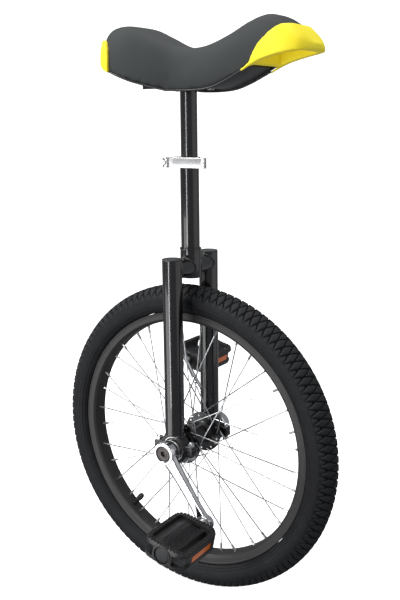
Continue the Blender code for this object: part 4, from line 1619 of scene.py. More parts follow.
@dataclass
class Frame:
    """The fork: two legs with their caps, the crown and the seat tube, welded together."""

    leg_y: float = 50 * MM
    leg_radius: float = 15 * MM
    leg_top: float = 549.7 * MM
    cap_top: float = 552 * MM
    holder_radius: float = 25 * MM
    crown_z: float = 533 * MM
    stub_radius: float = 14.3 * MM
    sleeve_radius: float = 16 * MM
    sleeve_low: float = 516 * MM
    sleeve_top: float = 562 * MM
    tube_radius: float = 14.3 * MM
    tube_top: float = 697 * MM
    tube_bore: float = 13.1 * MM
    slot_length: float = 35 * MM
    bead: float = 1.7 * MM

    def pipe(self, radius: float, bore: float, low: float, high: float,
            place: Matrix | None = None) -> Solid:
        """An open tube along Z with rounded lips.

        Args:
            radius: its outer radius.
            bore: its inner radius.
            low: its lower end.
            high: its upper end.
            place: where it goes.

        Returns:
            The tube.
        """
        lip = min(0.5 * MM, (radius - bore) / 3)
        corners = [(bore, low, lip), (radius, low, lip), (radius, high, lip), (bore, high, lip)]
        return Solid.turned(rounded(corners, steps=3), place, 96)

    def make_legs(self) -> None:
        """Builds the legs, mitred and welded on the bearing holders, and their caps."""
        for side in Side:
            y = side.sign * self.leg_y
            leg = self.pipe(self.leg_radius, 13.4 * MM, AXLE.z + 10 * MM, self.leg_top, at(0, y, 0))
            reach = self.holder_radius - 0.3 * MM
            leg.cut(Solid.rod(reach, -0.03, 0.03, along_axle(y), 96))
            round_leg = self.leg_radius + 0.2 * MM
            seam = []
            for step in range(96):
                turn = TURN * step / 96
                x = round_leg * math.cos(turn)
                height = AXLE.z + math.sqrt((self.holder_radius + 0.2 * MM) ** 2 - x * x)
                seam.append(Vector((x, y + max(-9.4 * MM, min(9.4 * MM, round_leg * math.sin(turn))),
                        height)))
            leg.add(weld(seam, self.bead, BLACK_PAINT))
            leg.show(f"fork_leg_{side.word}", BLACK_PAINT, Body.FRAME, [f"leg_{side.word}"])
            low = self.leg_top + 0.1 * MM
            cap = [(0, self.cap_top), (11.5 * MM, self.cap_top - 0.1 * MM, 3 * MM),
                   (self.leg_radius, self.cap_top - 0.7 * MM, 0.8 * MM), (self.leg_radius, low, 0.3 * MM),
                   (12.9 * MM, low), (12.9 * MM, low - 8 * MM, 0.8 * MM), (0, low - 8 * MM)]
            plug = Solid.turned(rounded(cap, False), at(0, y, 0), 96, closed=False)
            plug.show(f"leg_plug_{side.word}", LEG_CAP_PLASTIC, Body.FRAME, [f"leg_cap_{side.word}"])

    def stub_seam(self, side: Side, radius: float, at_leg: bool) -> list[Vector]:
        """Where a crown stub meets the leg or the sleeve.

        Args:
            side: the side of the stub.
            radius: the leg's or the sleeve's radius.
            at_leg: whether it is the end at the leg.

        Returns:
            The points of the seam.
        """
        seam = []
        for step in range(96):
            turn = TURN * step / 96
            x = self.stub_radius * math.cos(turn)
            z = self.crown_z + self.stub_radius * math.sin(turn)
            away = math.sqrt(radius**2 - x**2)
            y = self.leg_y - away - 0.2 * MM if at_leg else away + 0.2 * MM
            seam.append(Vector((x, side.sign * y, z)))
        return seam

    def make_crown(self) -> None:
        """Builds the sleeve and the stub to each leg."""
        sleeve = self.pipe(self.sleeve_radius, 14.5 * MM, self.sleeve_low, self.sleeve_top)
        lip = [(14.5, 559.5, 0.3), (16.7, 559.5, 0.5), (16.7, 562, 0.5), (14.5, 562, 0.3)]
        sleeve.add(Solid.turned(rounded(scaled(lip), steps=3)))
        sleeve.show("crown_collar", BLACK_PAINT, Body.FRAME, ["crown_sleeve"])
        for side in Side:
            stub = self.pipe(self.stub_radius, 12.5 * MM, -22 * MM, 22 * MM,
                    along_axle(side.sign * 25 * MM, z=self.crown_z))
            copes = []
            for y, reach in ((side.sign * self.leg_y, self.leg_radius - 0.2 * MM),
                    (0, self.sleeve_radius - 0.2 * MM)):
                copes.append(Solid.rod(reach, -0.03, 0.03, at(0, y, self.crown_z), 96))
            stub.cut(*copes)
            stub.add(
                weld(self.stub_seam(side, self.leg_radius, True), self.bead, BLACK_PAINT),
                weld(self.stub_seam(side, self.sleeve_radius, False), self.bead, BLACK_PAINT),
            )
            stub.show(f"crown_stub_{side.word}", BLACK_PAINT, Body.FRAME, [f"crown_tube_{side.word}"])

    def make_seat_tube(self) -> None:
        """Builds the seat tube with the slot in its back."""
        tube = self.pipe(self.tube_radius, self.tube_bore, self.sleeve_low, self.tube_top)
        slot = Solid.block((-20 * MM, -1.5 * MM, self.tube_top - self.slot_length),
                (-5 * MM, 1.5 * MM, self.tube_top + MM), 0)
        end = aimed((-12 * MM, 0, self.tube_top - self.slot_length), (1, 0, 0), (0, 1, 0))
        hole = Solid.rod(2.3 * MM, -8 * MM, 7 * MM, end)
        tube.cut(slot, hole).show("split_seat_tube", BLACK_PAINT, Body.FRAME, ["seat_tube"])

    def make(self) -> None:
        """Builds the whole fork."""
        self.make_legs()
        self.make_crown()
        self.make_seat_tube()


@dataclass
class Clamp:
    """The quick release: collar, bolt with its nut, barrel and lever."""

    height: float = 691.5 * MM
    half: float = 7.5 * MM
    radius: float = 17.5 * MM
    bore: float = 14.6 * MM
    bolt_x: float = -26 * MM
    ear_side: float = 12.5 * MM
    pivot_y: float = -20.5 * MM
    tip_x: float = 43 * MM

    def make_collar(self) -> None:
        """Builds the split collar with its two ears."""
        middle = at(0, 0, self.height)
        groove = 0.5 * MM
        corners = [(self.bore, -self.half, 0.4 * MM), (self.radius, -self.half, MM),
                (self.radius, -1.5 * MM, 0.4 * MM), (self.radius - groove, -1.1 * MM, 0.4 * MM),
                (self.radius - groove, 1.1 * MM, 0.4 * MM), (self.radius, 1.5 * MM, 0.4 * MM),
                (self.radius, self.half, MM), (self.bore, self.half, 0.4 * MM)]
        collar = Solid.turned(rounded(corners, steps=3), middle, 96)
        ears = []
        for sign in (1, -1):
            near, far = 1.5 * MM, self.ear_side
            outline = rounded([(-13 * MM, sign * near), (-32 * MM, sign * near, 1 * MM),
                    (-32 * MM, sign * far, 3.5 * MM),
                    (-13 * MM, sign * (far + 1 * MM), 1 * MM)], steps=6)
            ears.append(Solid.extruded(outline, -self.half, self.half, middle).soften(0.9 * MM, 3))
        bolt_line = along_axle(0, self.bolt_x, self.height)
        collar.join(*ears).cut(
            Solid.rod(self.bore, -0.02, 0.02, middle, 96),
            Solid.block((-33 * MM, -1.5 * MM, -20 * MM), (-10 * MM, 1.5 * MM, 20 * MM), 0, middle),
            Solid.rod(2.9 * MM, -0.03, 0.03, bolt_line),
        )
        collar.show("quick_collar", CHROME, Body.FRAME, ["clamp_collar"])

    def make_bolt(self) -> None:
        """Builds the bolt with its knurled nut, and the barrel that it screws into."""
        line = along_axle(0, self.bolt_x, self.height)
        side = self.ear_side
        outline = [(0, side + 5 * MM), (3.4 * MM, side + 5 * MM, 0.5 * MM),
                (4.5 * MM, side + 4 * MM, 0.5 * MM),
                (4.5 * MM, side + 0.3 * MM, 0.3 * MM), (2.5 * MM, side + 0.3 * MM),
                (2.5 * MM, self.pivot_y - 3 * MM),
                (0, self.pivot_y - 3 * MM)]
        bolt = Solid.turned(rounded(outline, False), line, 48, closed=False)
        ridge = Solid.tube([line @ Vector((4.45 * MM, 0, side + height * MM))
                for height in (0.8, 1.1, 3.4, 3.7)],
                [0.1 * MM, 0.3 * MM, 0.3 * MM, 0.1 * MM], 6)
        ridge.repeat(STEEL, 28, TURN / 28, (0, 1, 0), (self.bolt_x, 0, self.height))
        bolt.add(ridge).show("clamp_screw", STEEL, Body.FRAME, ["clamp_bolt"])
        pivot = at(self.bolt_x, self.pivot_y, self.height)
        corners = [(0, -7 * MM), (4.4 * MM, -7 * MM, 0.6 * MM), (4.4 * MM, 7 * MM, 0.6 * MM), (0, 7 * MM)]
        barrel = Solid.turned(rounded(corners, False), pivot, 48, closed=False)
        barrel.cut(Solid.rod(2.9 * MM, -0.04, 0.01, line))
        barrel.show("clamp_pin", STEEL, Body.FRAME, ["clamp_barrel"])

    def make_lever(self) -> None:
        """Builds the lever: a cam with a fork, and an arm that is wide and flat."""
        pivot = at(self.bolt_x, self.pivot_y, self.height)
        corners = [(4.9 * MM, -self.half, 0.3 * MM), (7.4 * MM, -self.half, 0.9 * MM),
                (7.4 * MM, self.half, 0.9 * MM),
                (4.9 * MM, self.half, 0.3 * MM)]
        lever = Solid.turned(rounded(corners, steps=3), pivot, 64)
        reach = (self.tip_x - self.bolt_x) / MM
        outline = [(4.6, 1.5, 0.5), (4.6, -4.6, 0.5), (12, -3.7, 14), (reach - 6, -3.1, 12),
                (reach, -1.6, 0.7),
                (reach, 1.0, 0.7), (reach - 6, -0.4, 12), (14, -0.6, 14), (8, 0.6, 5)]
        arm = Solid.extruded(rounded(scaled(outline), steps=5),
                -self.half, self.half, pivot)
        arm.soften(0.9 * MM, 3, 40)
        gap = Solid.block((-10 * MM, -10 * MM, -3.2 * MM), (4 * MM, 10 * MM, 3.2 * MM), 0, pivot)
        lever.join(arm).cut(gap)
        lever.show("quick_lever", BRIGHT, Body.LEVER, ["clamp_lever"])
        band = [(reach - 3.6, -2.9), (reach + 0.3, -1.9), (reach + 0.3, 1.2), (reach - 3.6, 0.4)]
        grip = Solid.extruded([(MM * x, MM * y) for x, y in band], -self.half - 0.25 * MM,
                self.half + 0.25 * MM, pivot)
        grip.soften(0.5 * MM).show("lever_band", LEVER_TIP, Body.LEVER)

    def make(self) -> None:
        """Builds the whole clamp."""
        self.make_collar()
        self.make_bolt()
        self.make_lever()


# Cranks and pedals


@dataclass
class Crank:
    """One side's crank with its bolt. Its place has X along the arm and Z outwards."""

    side: Side
    length: float = 120 * MM
    angle: float = math.radians(-50.5)
    boss_radius: float = 18 * MM
    boss_inner: float = 61 * MM
    boss_outer: float = 83.7 * MM
    eye_radius: float = 12.5 * MM
    eye_inner: float = 77.5 * MM
    eye_outer: float = 90 * MM

    def direction(self) -> Vector:
        """The way that the arm points."""
        turn = self.angle if self.side is Side.RIGHT else self.angle + math.pi
        return Vector((math.cos(turn), 0, math.sin(turn)))

    def place(self) -> Matrix:
        """The crank's own place."""
        return aimed(AXLE, (0, self.side.sign, 0), self.direction())

    def arm(self) -> Solid:
        """The arm: oval sections that narrow to a waist and rise outwards to the eye.

        Returns:
            The arm.
        """
        stations = [(-8, 8, 67, 82.2), (0, 12.6, 67, 82.6), (12, 13.2, 68, 82.8), (22, 11.7, 69, 83),
                (40, 10, 70.5, 83.4),
                (70, 9.1, 73.4, 84.8), (95, 9.2, 76, 86.8), (108, 10.4, 77.4, 88.6),
                (120, 11, 78.2, 89.2),
                (128, 7, 79, 89)]
        rings = []
        for step in range(41):
            x = -8 + 136 * step / 40
            width, low, high = spline(stations, x)
            ring = []
            for corner in range(32):
                turn = TURN * corner / 32
                across = math.copysign(abs(math.cos(turn)) ** 0.62, math.cos(turn))
                upright = math.copysign(abs(math.sin(turn)) ** 0.62, math.sin(turn))
                ring.append(Vector((x, width * across, (low + high) / 2 + (high - low) / 2 * upright)) * MM)
            rings.append(ring)
        return Solid.lofted(rings, self.place())

    def make_crank(self) -> None:
        """Builds the crank."""
        place = self.place()
        at_eye = place @ at(self.length, 0, 0)
        boss = [(0, self.boss_inner), (16 * MM, self.boss_inner, 1 * MM), (17 * MM, 66 * MM, 2 * MM),
                (self.boss_radius, 70 * MM, 2 * MM), (self.boss_radius, self.boss_outer, 1.3 * MM),
                (0, self.boss_outer)]
        eye = [(0, self.eye_inner), (self.eye_radius, self.eye_inner, 1.4 * MM),
               (self.eye_radius, self.eye_outer, 1.4 * MM), (0, self.eye_outer)]
        crank = Solid.turned(rounded(boss, False, 5), place, 96, closed=False)
        crank.join(self.arm(), Solid.turned(rounded(eye, False, 5), at_eye, 72, closed=False))
        floor = self.boss_outer - 8 * MM
        recess = [(0, floor), (12.6 * MM, floor), (12.6 * MM, 82.8 * MM), (13.6 * MM, 83.8 * MM),
                (13.6 * MM, 90 * MM),
                (0, 90 * MM)]
        square = []
        for height, half in ((60.5, 7.3), (77, 6.8)):
            square.append([Vector((sx * half, sy * half, height)) * MM for sx, sy in CORNERS])
        crank.cut(
            Solid.turned(recess, place, 72, closed=False),
            Solid.rod(7.5 * MM, 0.07, 0.1, at_eye, 48),
            Solid.lofted(square, place),
        )
        crank.show(f"crank_arm_{self.side.word}", CHROME, Body.WHEEL, [f"crank_{self.side.word}"], 30)

    def make_bolt(self) -> None:
        """Builds the bolt: a domed washer face, a knurled ring and a hexagon socket."""
        place = self.place()
        head = 83.0
        outline = [(0, head - 4), (4.4, head - 4), (4.4, head - 0.2, 0.2), (5.4, head, 0.2),
                (6.4, head - 0.2, 0.2),
                (6.6, head - 0.7, 0.2), (8.2, head - 0.6, 0.2), (8.5, head - 0.1, 0.2),
                (10.6, head - 0.2, 0.4),
                (12.2, head - 1.2, 0.4), (12.2, head - 6.4, 0.2), (4, head - 6.6), (4, 52), (0, 52)]
        bolt = Solid.turned(rounded(scaled(outline), False, 3), place, 72,
                closed=False)
        radius = 4 * MM / math.cos(math.pi / 6)
        socket = [(radius * math.cos(TURN * k / 6), radius * math.sin(TURN * k / 6)) for k in range(6)]
        bolt.cut(Solid.extruded(socket, 78.5 * MM, 84 * MM, place))
        mark = Solid.tube([place @ (Vector((distance, 0, head - 0.15)) * MM)
                for distance in (8.9, 9.2, 10.2, 10.5)],
                [0.12 * MM, 0.3 * MM, 0.3 * MM, 0.12 * MM], 6)
        mark.repeat(DARK_STEEL, 36, TURN / 36, (0, 1, 0), AXLE)
        bolt.add(mark).show(f"crank_screw_{self.side.word}", DARK_STEEL, Body.WHEEL,
                [f"crank_bolt_{self.side.word}"])

    def make(self) -> None:
        """Builds the crank and its bolt."""
        self.make_crank()
        self.make_bolt()


@dataclass
class Pedal:
    """One side's platform pedal. Its place has X along the tread, front edge down, and Z outwards."""

    crank: Crank
    inner: float = 101 * MM
    outer: float = 195 * MM
    half_length: float = 36.5 * MM
    half_height: float = 13.5 * MM
    pitch: float = math.radians(12)
    opening_x: float = 22.5 * MM
    deck: float = 6 * MM

    def eye(self) -> Vector:
        """The middle of the spindle's thread."""
        return AXLE + self.crank.length * self.crank.direction()

    def place(self) -> Matrix:
        """The pedal's own place."""
        level = (math.cos(self.pitch), 0, -math.sin(self.pitch))
        return aimed(self.eye(), (0, self.crank.side.sign, 0), level)

    def lying(self) -> Matrix:
        """The place of a plan: X along the tread, Y along the spindle inwards, Z up or down."""
        middle = (self.inner + self.outer) / 2
        return self.place() @ at(0, 0, middle) @ Matrix.Rotation(math.pi / 2, 4, "X")

    def make_spindle(self) -> None:
        """Builds the spindle with its flange, cone and locknut."""
        at_eye = self.crank.place() @ at(self.crank.length, 0, 0)
        outline = [(0, 77.5), (6.4, 77.5, 0.5), (7.1, 78.3, 0.3), (7.1, 90.3, 0.2), (9, 90.3, 0.3),
                (9, 94, 0.6),
                (6, 95.5, 0.6), (4.5, 177), (7, 177, 0.4), (7, 182.5), (5.6, 182.6), (5.6, 188, 0.5),
                (0, 188)]
        spindle = Solid.turned(rounded(scaled(outline), False, 3), at_eye, 64,
                closed=False)
        flats = [Solid.block((-20 * MM, sign * 7.6 * MM - 2 * MM * (sign < 0), 90.8 * MM),
                (20 * MM, sign * 7.6 * MM + 2 * MM * (sign > 0), 93.9 * MM), 0, at_eye)
                for sign in (1, -1)]
        word = self.crank.side.word
        spindle.cut(*flats).show(f"pedal_axle_{word}", STEEL, Body.WHEEL, [f"pedal_spindle_{word}"])

    def cage(self) -> Solid:
        """The body's outline, softened, with its recesses, openings, windows, pockets and bore.

        Returns:
            The cage.
        """
        lying = self.lying()
        half = (self.outer - self.inner) / 2
        cage = Solid.extruded(rounded(rectangle(self.half_length, half, 18 * MM), steps=10),
                -self.half_height,
                self.half_height, lying).soften(2 * MM, 3)
        cutters = []
        for end in (1, -1):
            opening = rounded(rectangle(6.5 * MM, half - 10 * MM, 5 * MM), steps=5)
            moved = [(x + end * self.opening_x, y) for x, y in opening]
            cutters.append(Solid.extruded(moved, -0.02, 0.02, lying))
            edge = end * self.half_length
            back, front = sorted((edge - end * 3.6 * MM, edge + end * 3 * MM))
            middle_y = (self.inner + self.outer) / 2
            cutters.append(Solid.block((back, -5.6 * MM, middle_y - 24.4 * MM),
                    (front, 5.6 * MM, middle_y + 24.4 * MM), 0,
                    self.place()))
            levels = sorted((end * (self.half_height - self.deck), end * 0.03))
            cutters.append(Solid.extruded(rounded(rectangle(29 * MM, half - 9 * MM, 10 * MM), steps=6),
                    *levels, lying))
        cutters.append(self.waist())
        bore = [(0, 197), (12.5, 197), (12.5, 192), (9, 192), (9, 175), (7.5, 175), (7.5, 100), (0, 100)]
        cutters.append(Solid.turned([(MM * r, MM * h) for r, h in bore], self.place(), 64, closed=False))
        return cage.cut(*cutters)

    def waist(self) -> Solid:
        """The space between the upper and the lower rail, which the end blocks, deck and lens holders cross.

        Returns:
            The space as a cutter.
        """
        lying = self.lying()
        half = (self.outer - self.inner) / 2
        gap = 8.2 * MM
        space = Solid.block((-0.05, -0.06, -gap), (0.05, 0.06, gap), 0, lying)
        tall = 0.02
        kept = [Solid.block((-16 * MM, -half - MM, -tall), (16 * MM, half + MM, tall), 0, lying)]
        kept.append(Solid.block((-0.04, -half - MM, -tall), (0.04, 9 * MM - half, tall), 0, lying))
        for end in (1, -1):
            low, high = sorted((end * 28.5 * MM, end * (self.half_length + MM)))
            kept.append(Solid.block((low, -half, -tall), (high, 26.5 * MM, tall), 0, lying))
        return space.cut(*kept)

    def teeth(self, sign: int) -> Solid:
        """The small blocks round one face of the tread and down its middle.

        Args:
            sign: 1 for the upper face and -1 for the lower.

        Returns:
            The blocks.
        """
        lying = self.lying()
        top = sign * self.half_height
        shape = bmesh.new()
        spots = []
        half = (self.outer - self.inner) / 2
        for inset, phase in ((2.3, 0.0), (6.1, 2.8)):
            corner = (18 - inset) * MM
            ring = rounded(rectangle(self.half_length - inset * MM, half - inset * MM, corner), steps=24)
            length = phase * MM
            for index, point in enumerate(ring):
                here, ahead = Vector(point), Vector(ring[(index + 1) % len(ring)])
                span = (ahead - here).length
                while length < span:
                    spot = here + (ahead - here) * length / span
                    spots.append((spot, math.atan2(*(ahead - here).yx), 2.1 * MM, 1.45 * MM, top, 1.4 * MM))
                    length += 5.6 * MM
                length -= span
        deck = sign * (self.half_height - self.deck)
        for row in range(-21, 22):
            for column in range(-5, 6):
                spot = Vector(((column + 0.5 * (row % 2)) * 3.6, row * 1.8)) * MM
                if abs(spot.x) < 14.8 * MM and abs(spot.y) < 36 * MM:
                    spots.append((spot, math.pi / 4, 1.05 * MM, 1.05 * MM, deck, 1.1 * MM))
        for spot, turn, long, wide, base, rise in spots:
            spin = at(*spot, base) @ Matrix.Rotation(turn, 4, "Z")
            foot = [spin @ Vector((sx * long, sy * wide, -sign * 0.4 * MM)) for sx, sy in CORNERS]
            head = [spin @ Vector((sx * 0.8 * long, sy * 0.7 * wide, sign * rise)) for sx, sy in CORNERS]
            feet = [shape.verts.new(point) for point in foot]
            heads = [shape.verts.new(point) for point in head]
            shape.faces.new(heads)
            shape.faces.new(feet)
            for k in range(4):
                shape.faces.new((feet[k], feet[(k + 1) % 4], heads[(k + 1) % 4], heads[k]))
        return Solid(shape, lying)

    def make_body(self) -> None:
        """Builds the cage with its barrel, teeth and the ring round the cap."""
        body = self.cage()
        ring = [(12.6, 190, 0.2), (14.6, 190, 0.4), (14.6, 196.2, 0.6), (12.6, 196.2, 0.5)]
        collar = Solid.turned(rounded(scaled(ring), steps=3), self.place(), 72)
        body.add(collar, self.teeth(1), self.teeth(-1))
        word = self.crank.side.word
        body.show(f"pedal_cage_{word}", PEDAL_PLASTIC, self.crank.side.pedal, [f"pedal_body_{word}"])

    def make_trim(self) -> None:
        """Builds the reflectors and the end cap."""
        word = self.crank.side.word
        body = self.crank.side.pedal
        middle = (self.inner + self.outer) / 2
        for name, end in (("front", 1), ("rear", -1)):
            edge = end * self.half_length
            back, front = sorted((edge - end * 3.2 * MM, edge - end * 0.3 * MM))
            lens = Solid.block((back, -5.2 * MM, middle - 24 * MM), (front, 5.2 * MM, middle + 24 * MM),
                    0.7 * MM,
                    self.place())
            lens.show(f"pedal_lens_{word}_{name}", ORANGE, body, [f"pedal_reflector_{word}_{name}"])
        outline = [(0, 195.8), (4, 195.8, 2), (9.8, 195.3, 2), (12, 194.3, 0.7), (12, 192.3, 0.3),
                (0, 192.3)]
        cap = Solid.turned(rounded(scaled(outline), False, 4), self.place(), 72,
                closed=False)
        cap.show(f"pedal_plug_{word}", CAP_PLASTIC, body, [f"pedal_cap_{word}"])

    def make(self) -> None:
        """Builds the spindle and the pedal."""
        self.make_spindle()
        self.make_body()
        self.make_trim()


# Seat


@dataclass
class Seat:
    """The saddle on its post: cushion, base, nuts and bumpers. Stations are x and a value in millimetres."""

    width: tuple = ((-137, 14), (-134, 27), (-129, 38.5), (-124, 46), (-110, 60), (-80, 65), (-40, 57),
            (0, 45), (40, 41),
            (80, 41), (120, 43), (150, 46), (175, 45), (195, 38), (203, 28), (208, 12))
    top: tuple = ((-137, 860), (-134, 865), (-129, 871), (-124, 878), (-110, 889.5), (-80, 891),
            (-40, 875), (0, 858.5),
            (40, 857.5), (80, 870), (120, 887), (150, 892.5), (175, 880), (195, 862), (203, 853),
            (208, 848))
    lip: tuple = ((-137, 853), (-130, 847), (-124, 840), (-110, 829), (-101, 824.5), (-80, 816),
            (-58, 808), (-15, 796.6),
            (5, 794.6), (37, 794.4), (62, 797), (86, 805), (110, 816), (130, 826), (142, 831),
            (160, 836), (182, 840),
            (208, 843))
    front_line: tuple = ((114.5, 819.8), (120.7, 822.8), (128.4, 828.2), (134.6, 840.8), (142.1, 851.8),
            (149.7, 858.3),
            (157.1, 865), (166, 871), (173, 874.8), (183, 876), (200, 876.5))
    rear_line: tuple = ((-100, 810), (-99.5, 841.5), (-101.6, 857), (-106, 866), (-112, 870), (-150, 869.5))
    middle_x: float = 35
    proud: float = 2.4
    swell: float = 1.6 * MM
    post_radius: float = 12.7 * MM
    post_low: float = 595 * MM
    plate_top: float = 804.5 * MM
    stud_x: float = 30 * MM
    stud_y: float = 15 * MM

    def ring(self, x: float, grow: float = 0.0, drop: float = 0.0, steps: int = 40) -> list[Vector]:
        """A section across the saddle, from one lip over the top to the other.

        Args:
            x: where, in millimetres.
            grow: how far it stands out from the cover, in millimetres.
            drop: how far it reaches below the lip, in millimetres.
            steps: how many edges it has.

        Returns:
            The section's points.
        """
        width, top, lip = (spline(row, x)[0] for row in (self.width, self.top, self.lip))
        place = x + grow * (x - self.middle_x) / 170
        width, top, low = width + grow, top + grow, lip - drop
        points = []
        for step in range(steps + 1):
            turn = math.pi * step / steps
            across = math.copysign(abs(math.cos(turn)) ** 0.42, math.cos(turn))
            upright = math.sin(turn) ** 0.9 if 0 < step < steps else 0
            points.append(Vector((place, width * across, low + (top - low) * upright)) * MM)
        return points

    def body(self, grow: float = 0.0, drop: float = 0.0, start: float = -137, stop: float = 208) -> Solid:
        """The saddle's whole outer form as a closed solid."""
        count = 84
        return Solid.lofted([self.ring(start + (stop - start) * step / count, grow, drop)
                for step in range(count + 1)])

    def hollow(self, start: float, stop: float, inset: float, ceiling: float, edge: float) -> Solid:
        """A hollow that is open below and follows the saddle's outline.

        Args:
            start: its rear end.
            stop: its front end.
            inset: how far its sides are from the cover.
            ceiling: its height above the lip.
            edge: its radius along the ceiling.

        Returns:
            The hollow as a cutter.
        """
        rings = []
        for step in range(33):
            x = start + (stop - start) * step / 32
            side = spline(self.width, x)[0] - inset
            near = (stop - x) / 10
            side *= min(1.0, math.sqrt(max(0.0, 1 - (1 - min(1.0, near)) ** 2)) * 0.35 + 0.65)
            low = spline(self.lip, x)[0]
            high = min(low + ceiling, spline(self.top, x)[0] - 6 if ceiling < 50 else 2000)
            plan = rounded([(side, low - 30), (side, high, edge), (-side, high, edge), (-side, low - 30)])
            rings.append([Vector((x, y, z)) * MM for y, z in plan])
        return Solid.lofted(rings)

    def inflate(self, cushion: Solid) -> Solid:
        """Swells the cushion as a cloth under pressure and keeps each point near its start.

        Args:
            cushion: the closed form, a little smaller than the finished cushion.

        Returns:
            The cushion.
        """
        thing = cushion.thing
        remesh = thing.modifiers.new("even", "REMESH")
        remesh.mode = "VOXEL"
        remesh.voxel_size = 4.5 * MM
        cushion.settle()
        start = [vert.co.copy() for vert in thing.data.vertices]
        held = thing.vertex_groups.new(name="held")
        low = [spline(self.lip, vert.co.x / MM)[0] * MM for vert in thing.data.vertices]
        held.add([k for k, vert in enumerate(thing.data.vertices) if vert.co.z < low[k] + 7 * MM],
                1.0, "REPLACE")
        cloth = thing.modifiers.new("cover", "CLOTH")
        cloth.settings.use_pressure = True
        cloth.settings.uniform_pressure_force = 4
        cloth.settings.vertex_group_mass = "held"
        cloth.settings.effector_weights.gravity = 0
        scene = bpy.context.scene
        for number in range(1, 21):
            scene.frame_set(number)
        cushion.settle()
        for place, vert in zip(start, thing.data.vertices):
            away = vert.co - place
            if away.length > self.swell:
                vert.co = place + away.normalized() * self.swell
        scene.frame_set(1)
        thing.vertex_groups.clear()
        smooth = thing.modifiers.new("smooth", "SMOOTH")
        smooth.iterations = 2
        divide = thing.modifiers.new("divide", "SUBSURF")
        divide.levels = divide.render_levels = 1
        return cushion.settle()

    def make_cushion(self) -> None:
        """Builds the cushion with the pocket for its base and the room for the grip."""
        cushion = self.inflate(self.body(-1.0, 0.0, -134, 196))
        cushion.cut(self.pocket(0.0), self.hollow(119, 205, 6, 25.5, 10))
        piece = cushion.show("saddle_pad", COVER, Body.SEAT, ["saddle_cushion"], 50)

    def pocket(self, inset: float) -> Solid:
        """The room for the base in the cushion, or with some inset the base's own outline.

        Args:
            inset: how far it is drawn in, in millimetres.

        Returns:
            The room or the base.
        """
        rings = []
        for step in range(61):
            x = -131 + inset + (252 - 2 * inset) * step / 60
            side = spline(self.width, x)[0] - 5.5 - inset
            low = spline(self.lip, x)[0]
            floor = low - 20 if not inset else low + 2.6
            belly = 0 if not inset else 2.0
            plan = rounded([(side, floor, 2.5 if inset else 0.1), (side, low + 15.5 - inset, 3),
                    (-side, low + 15.5 - inset, 3), (-side, floor, 2.5 if inset else 0.1)])
            rings.append([Vector((x, y, z - belly * (1 - (y / side) ** 2) * (z < low + 8))) * MM for y,
                    z in plan])
        return Solid.lofted(rings)

    def make_base(self) -> None:
        """Builds the moulded base with its rim, the recess for the plate, a rib and the studs."""
        base = self.pocket(0.4)
        room = Solid.block((-44 * MM, -27.5 * MM, 780 * MM), (44 * MM, 27.5 * MM, 805 * MM), 3 * MM)
        rib = Solid.block((-84 * MM, -1.2 * MM, 800 * MM), (-50 * MM, 1.2 * MM, 821 * MM), 0.5 * MM)
        base.cut(room)
        base.join(rib)
        for sign in (1, -1):
            edge = []
            for step in range(81):
                x = -130 + 246 * step / 80
                y = spline(self.width, x)[0] - 2.6
                edge.append(Vector((x, sign * y, spline(self.lip, x)[0] + 0.6)) * MM)
            base.add(Solid.tube(edge, 1.6 * MM, 12))
        studs = Solid.turned([(0, 0.7955), (2.6 * MM, 0.7955), (3 * MM, 0.796), (3 * MM, 0.8065),
                (0, 0.8065)],
                at(-self.stud_x, -self.stud_y, 0), 24, closed=False)
        studs.repeat(BASE_PLASTIC, 2, step=(2 * self.stud_x, 0, 0)).repeat(BASE_PLASTIC, 2,
                step=(0, 2 * self.stud_y, 0))
        base.add(studs).show("saddle_shell", BASE_PLASTIC, Body.SEAT, ["saddle_base"])

    def make_nuts(self) -> None:
        """Builds the four nuts under the plate, each with its washer."""
        high = self.plate_top - 3.3 * MM
        spots = [(x, y) for x in (-self.stud_x, self.stud_x) for y in (-self.stud_y, self.stud_y)]
        for number, (x, y) in enumerate(spots, 1):
            place = at(x, y, 0)
            nut = hexagon(5 * MM, high - 5 * MM, high - 0.9 * MM, 0.6 * MM)
            nut.cut(Solid.rod(3.15 * MM, 0.7, 0.9))
            ring = [(3.4 * MM, high - 0.9 * MM), (6.3 * MM, high - 0.9 * MM), (6.3 * MM, high),
                    (3.4 * MM, high)]
            nut.add(Solid.turned(ring, None, 32))
            nut.thing.data.transform(place)
            nut.show(f"saddle_fixing_{number}", STEEL, Body.SEAT, [f"saddle_nut_{number}"])

    def mould(self, solid: Solid, size: float) -> Solid:
        """Rounds every edge of a solid as a mould does, by an even remesh and a few turns of smoothing.

        Args:
            solid: the solid.
            size: the size of the even faces.

        Returns:
            The same solid.
        """
        remesh = solid.thing.modifiers.new("even", "REMESH")
        remesh.mode = "VOXEL"
        remesh.voxel_size = size
        smooth = solid.thing.modifiers.new("smooth", "SMOOTH")
        smooth.iterations = 5
        smooth.factor = 0.5
        return solid.settle()

    def outline(self, line: Sequence[Point], corners: Sequence[Point]) -> Solid:
        """A prism across the saddle on a line in x and z that is closed round some corners."""
        points = [(x * MM, -z * MM) for x, z in (*line, *corners)]
        return Solid.extruded(points, -0.1, 0.1, aimed((0, 0, 0), (0, 1, 0)))

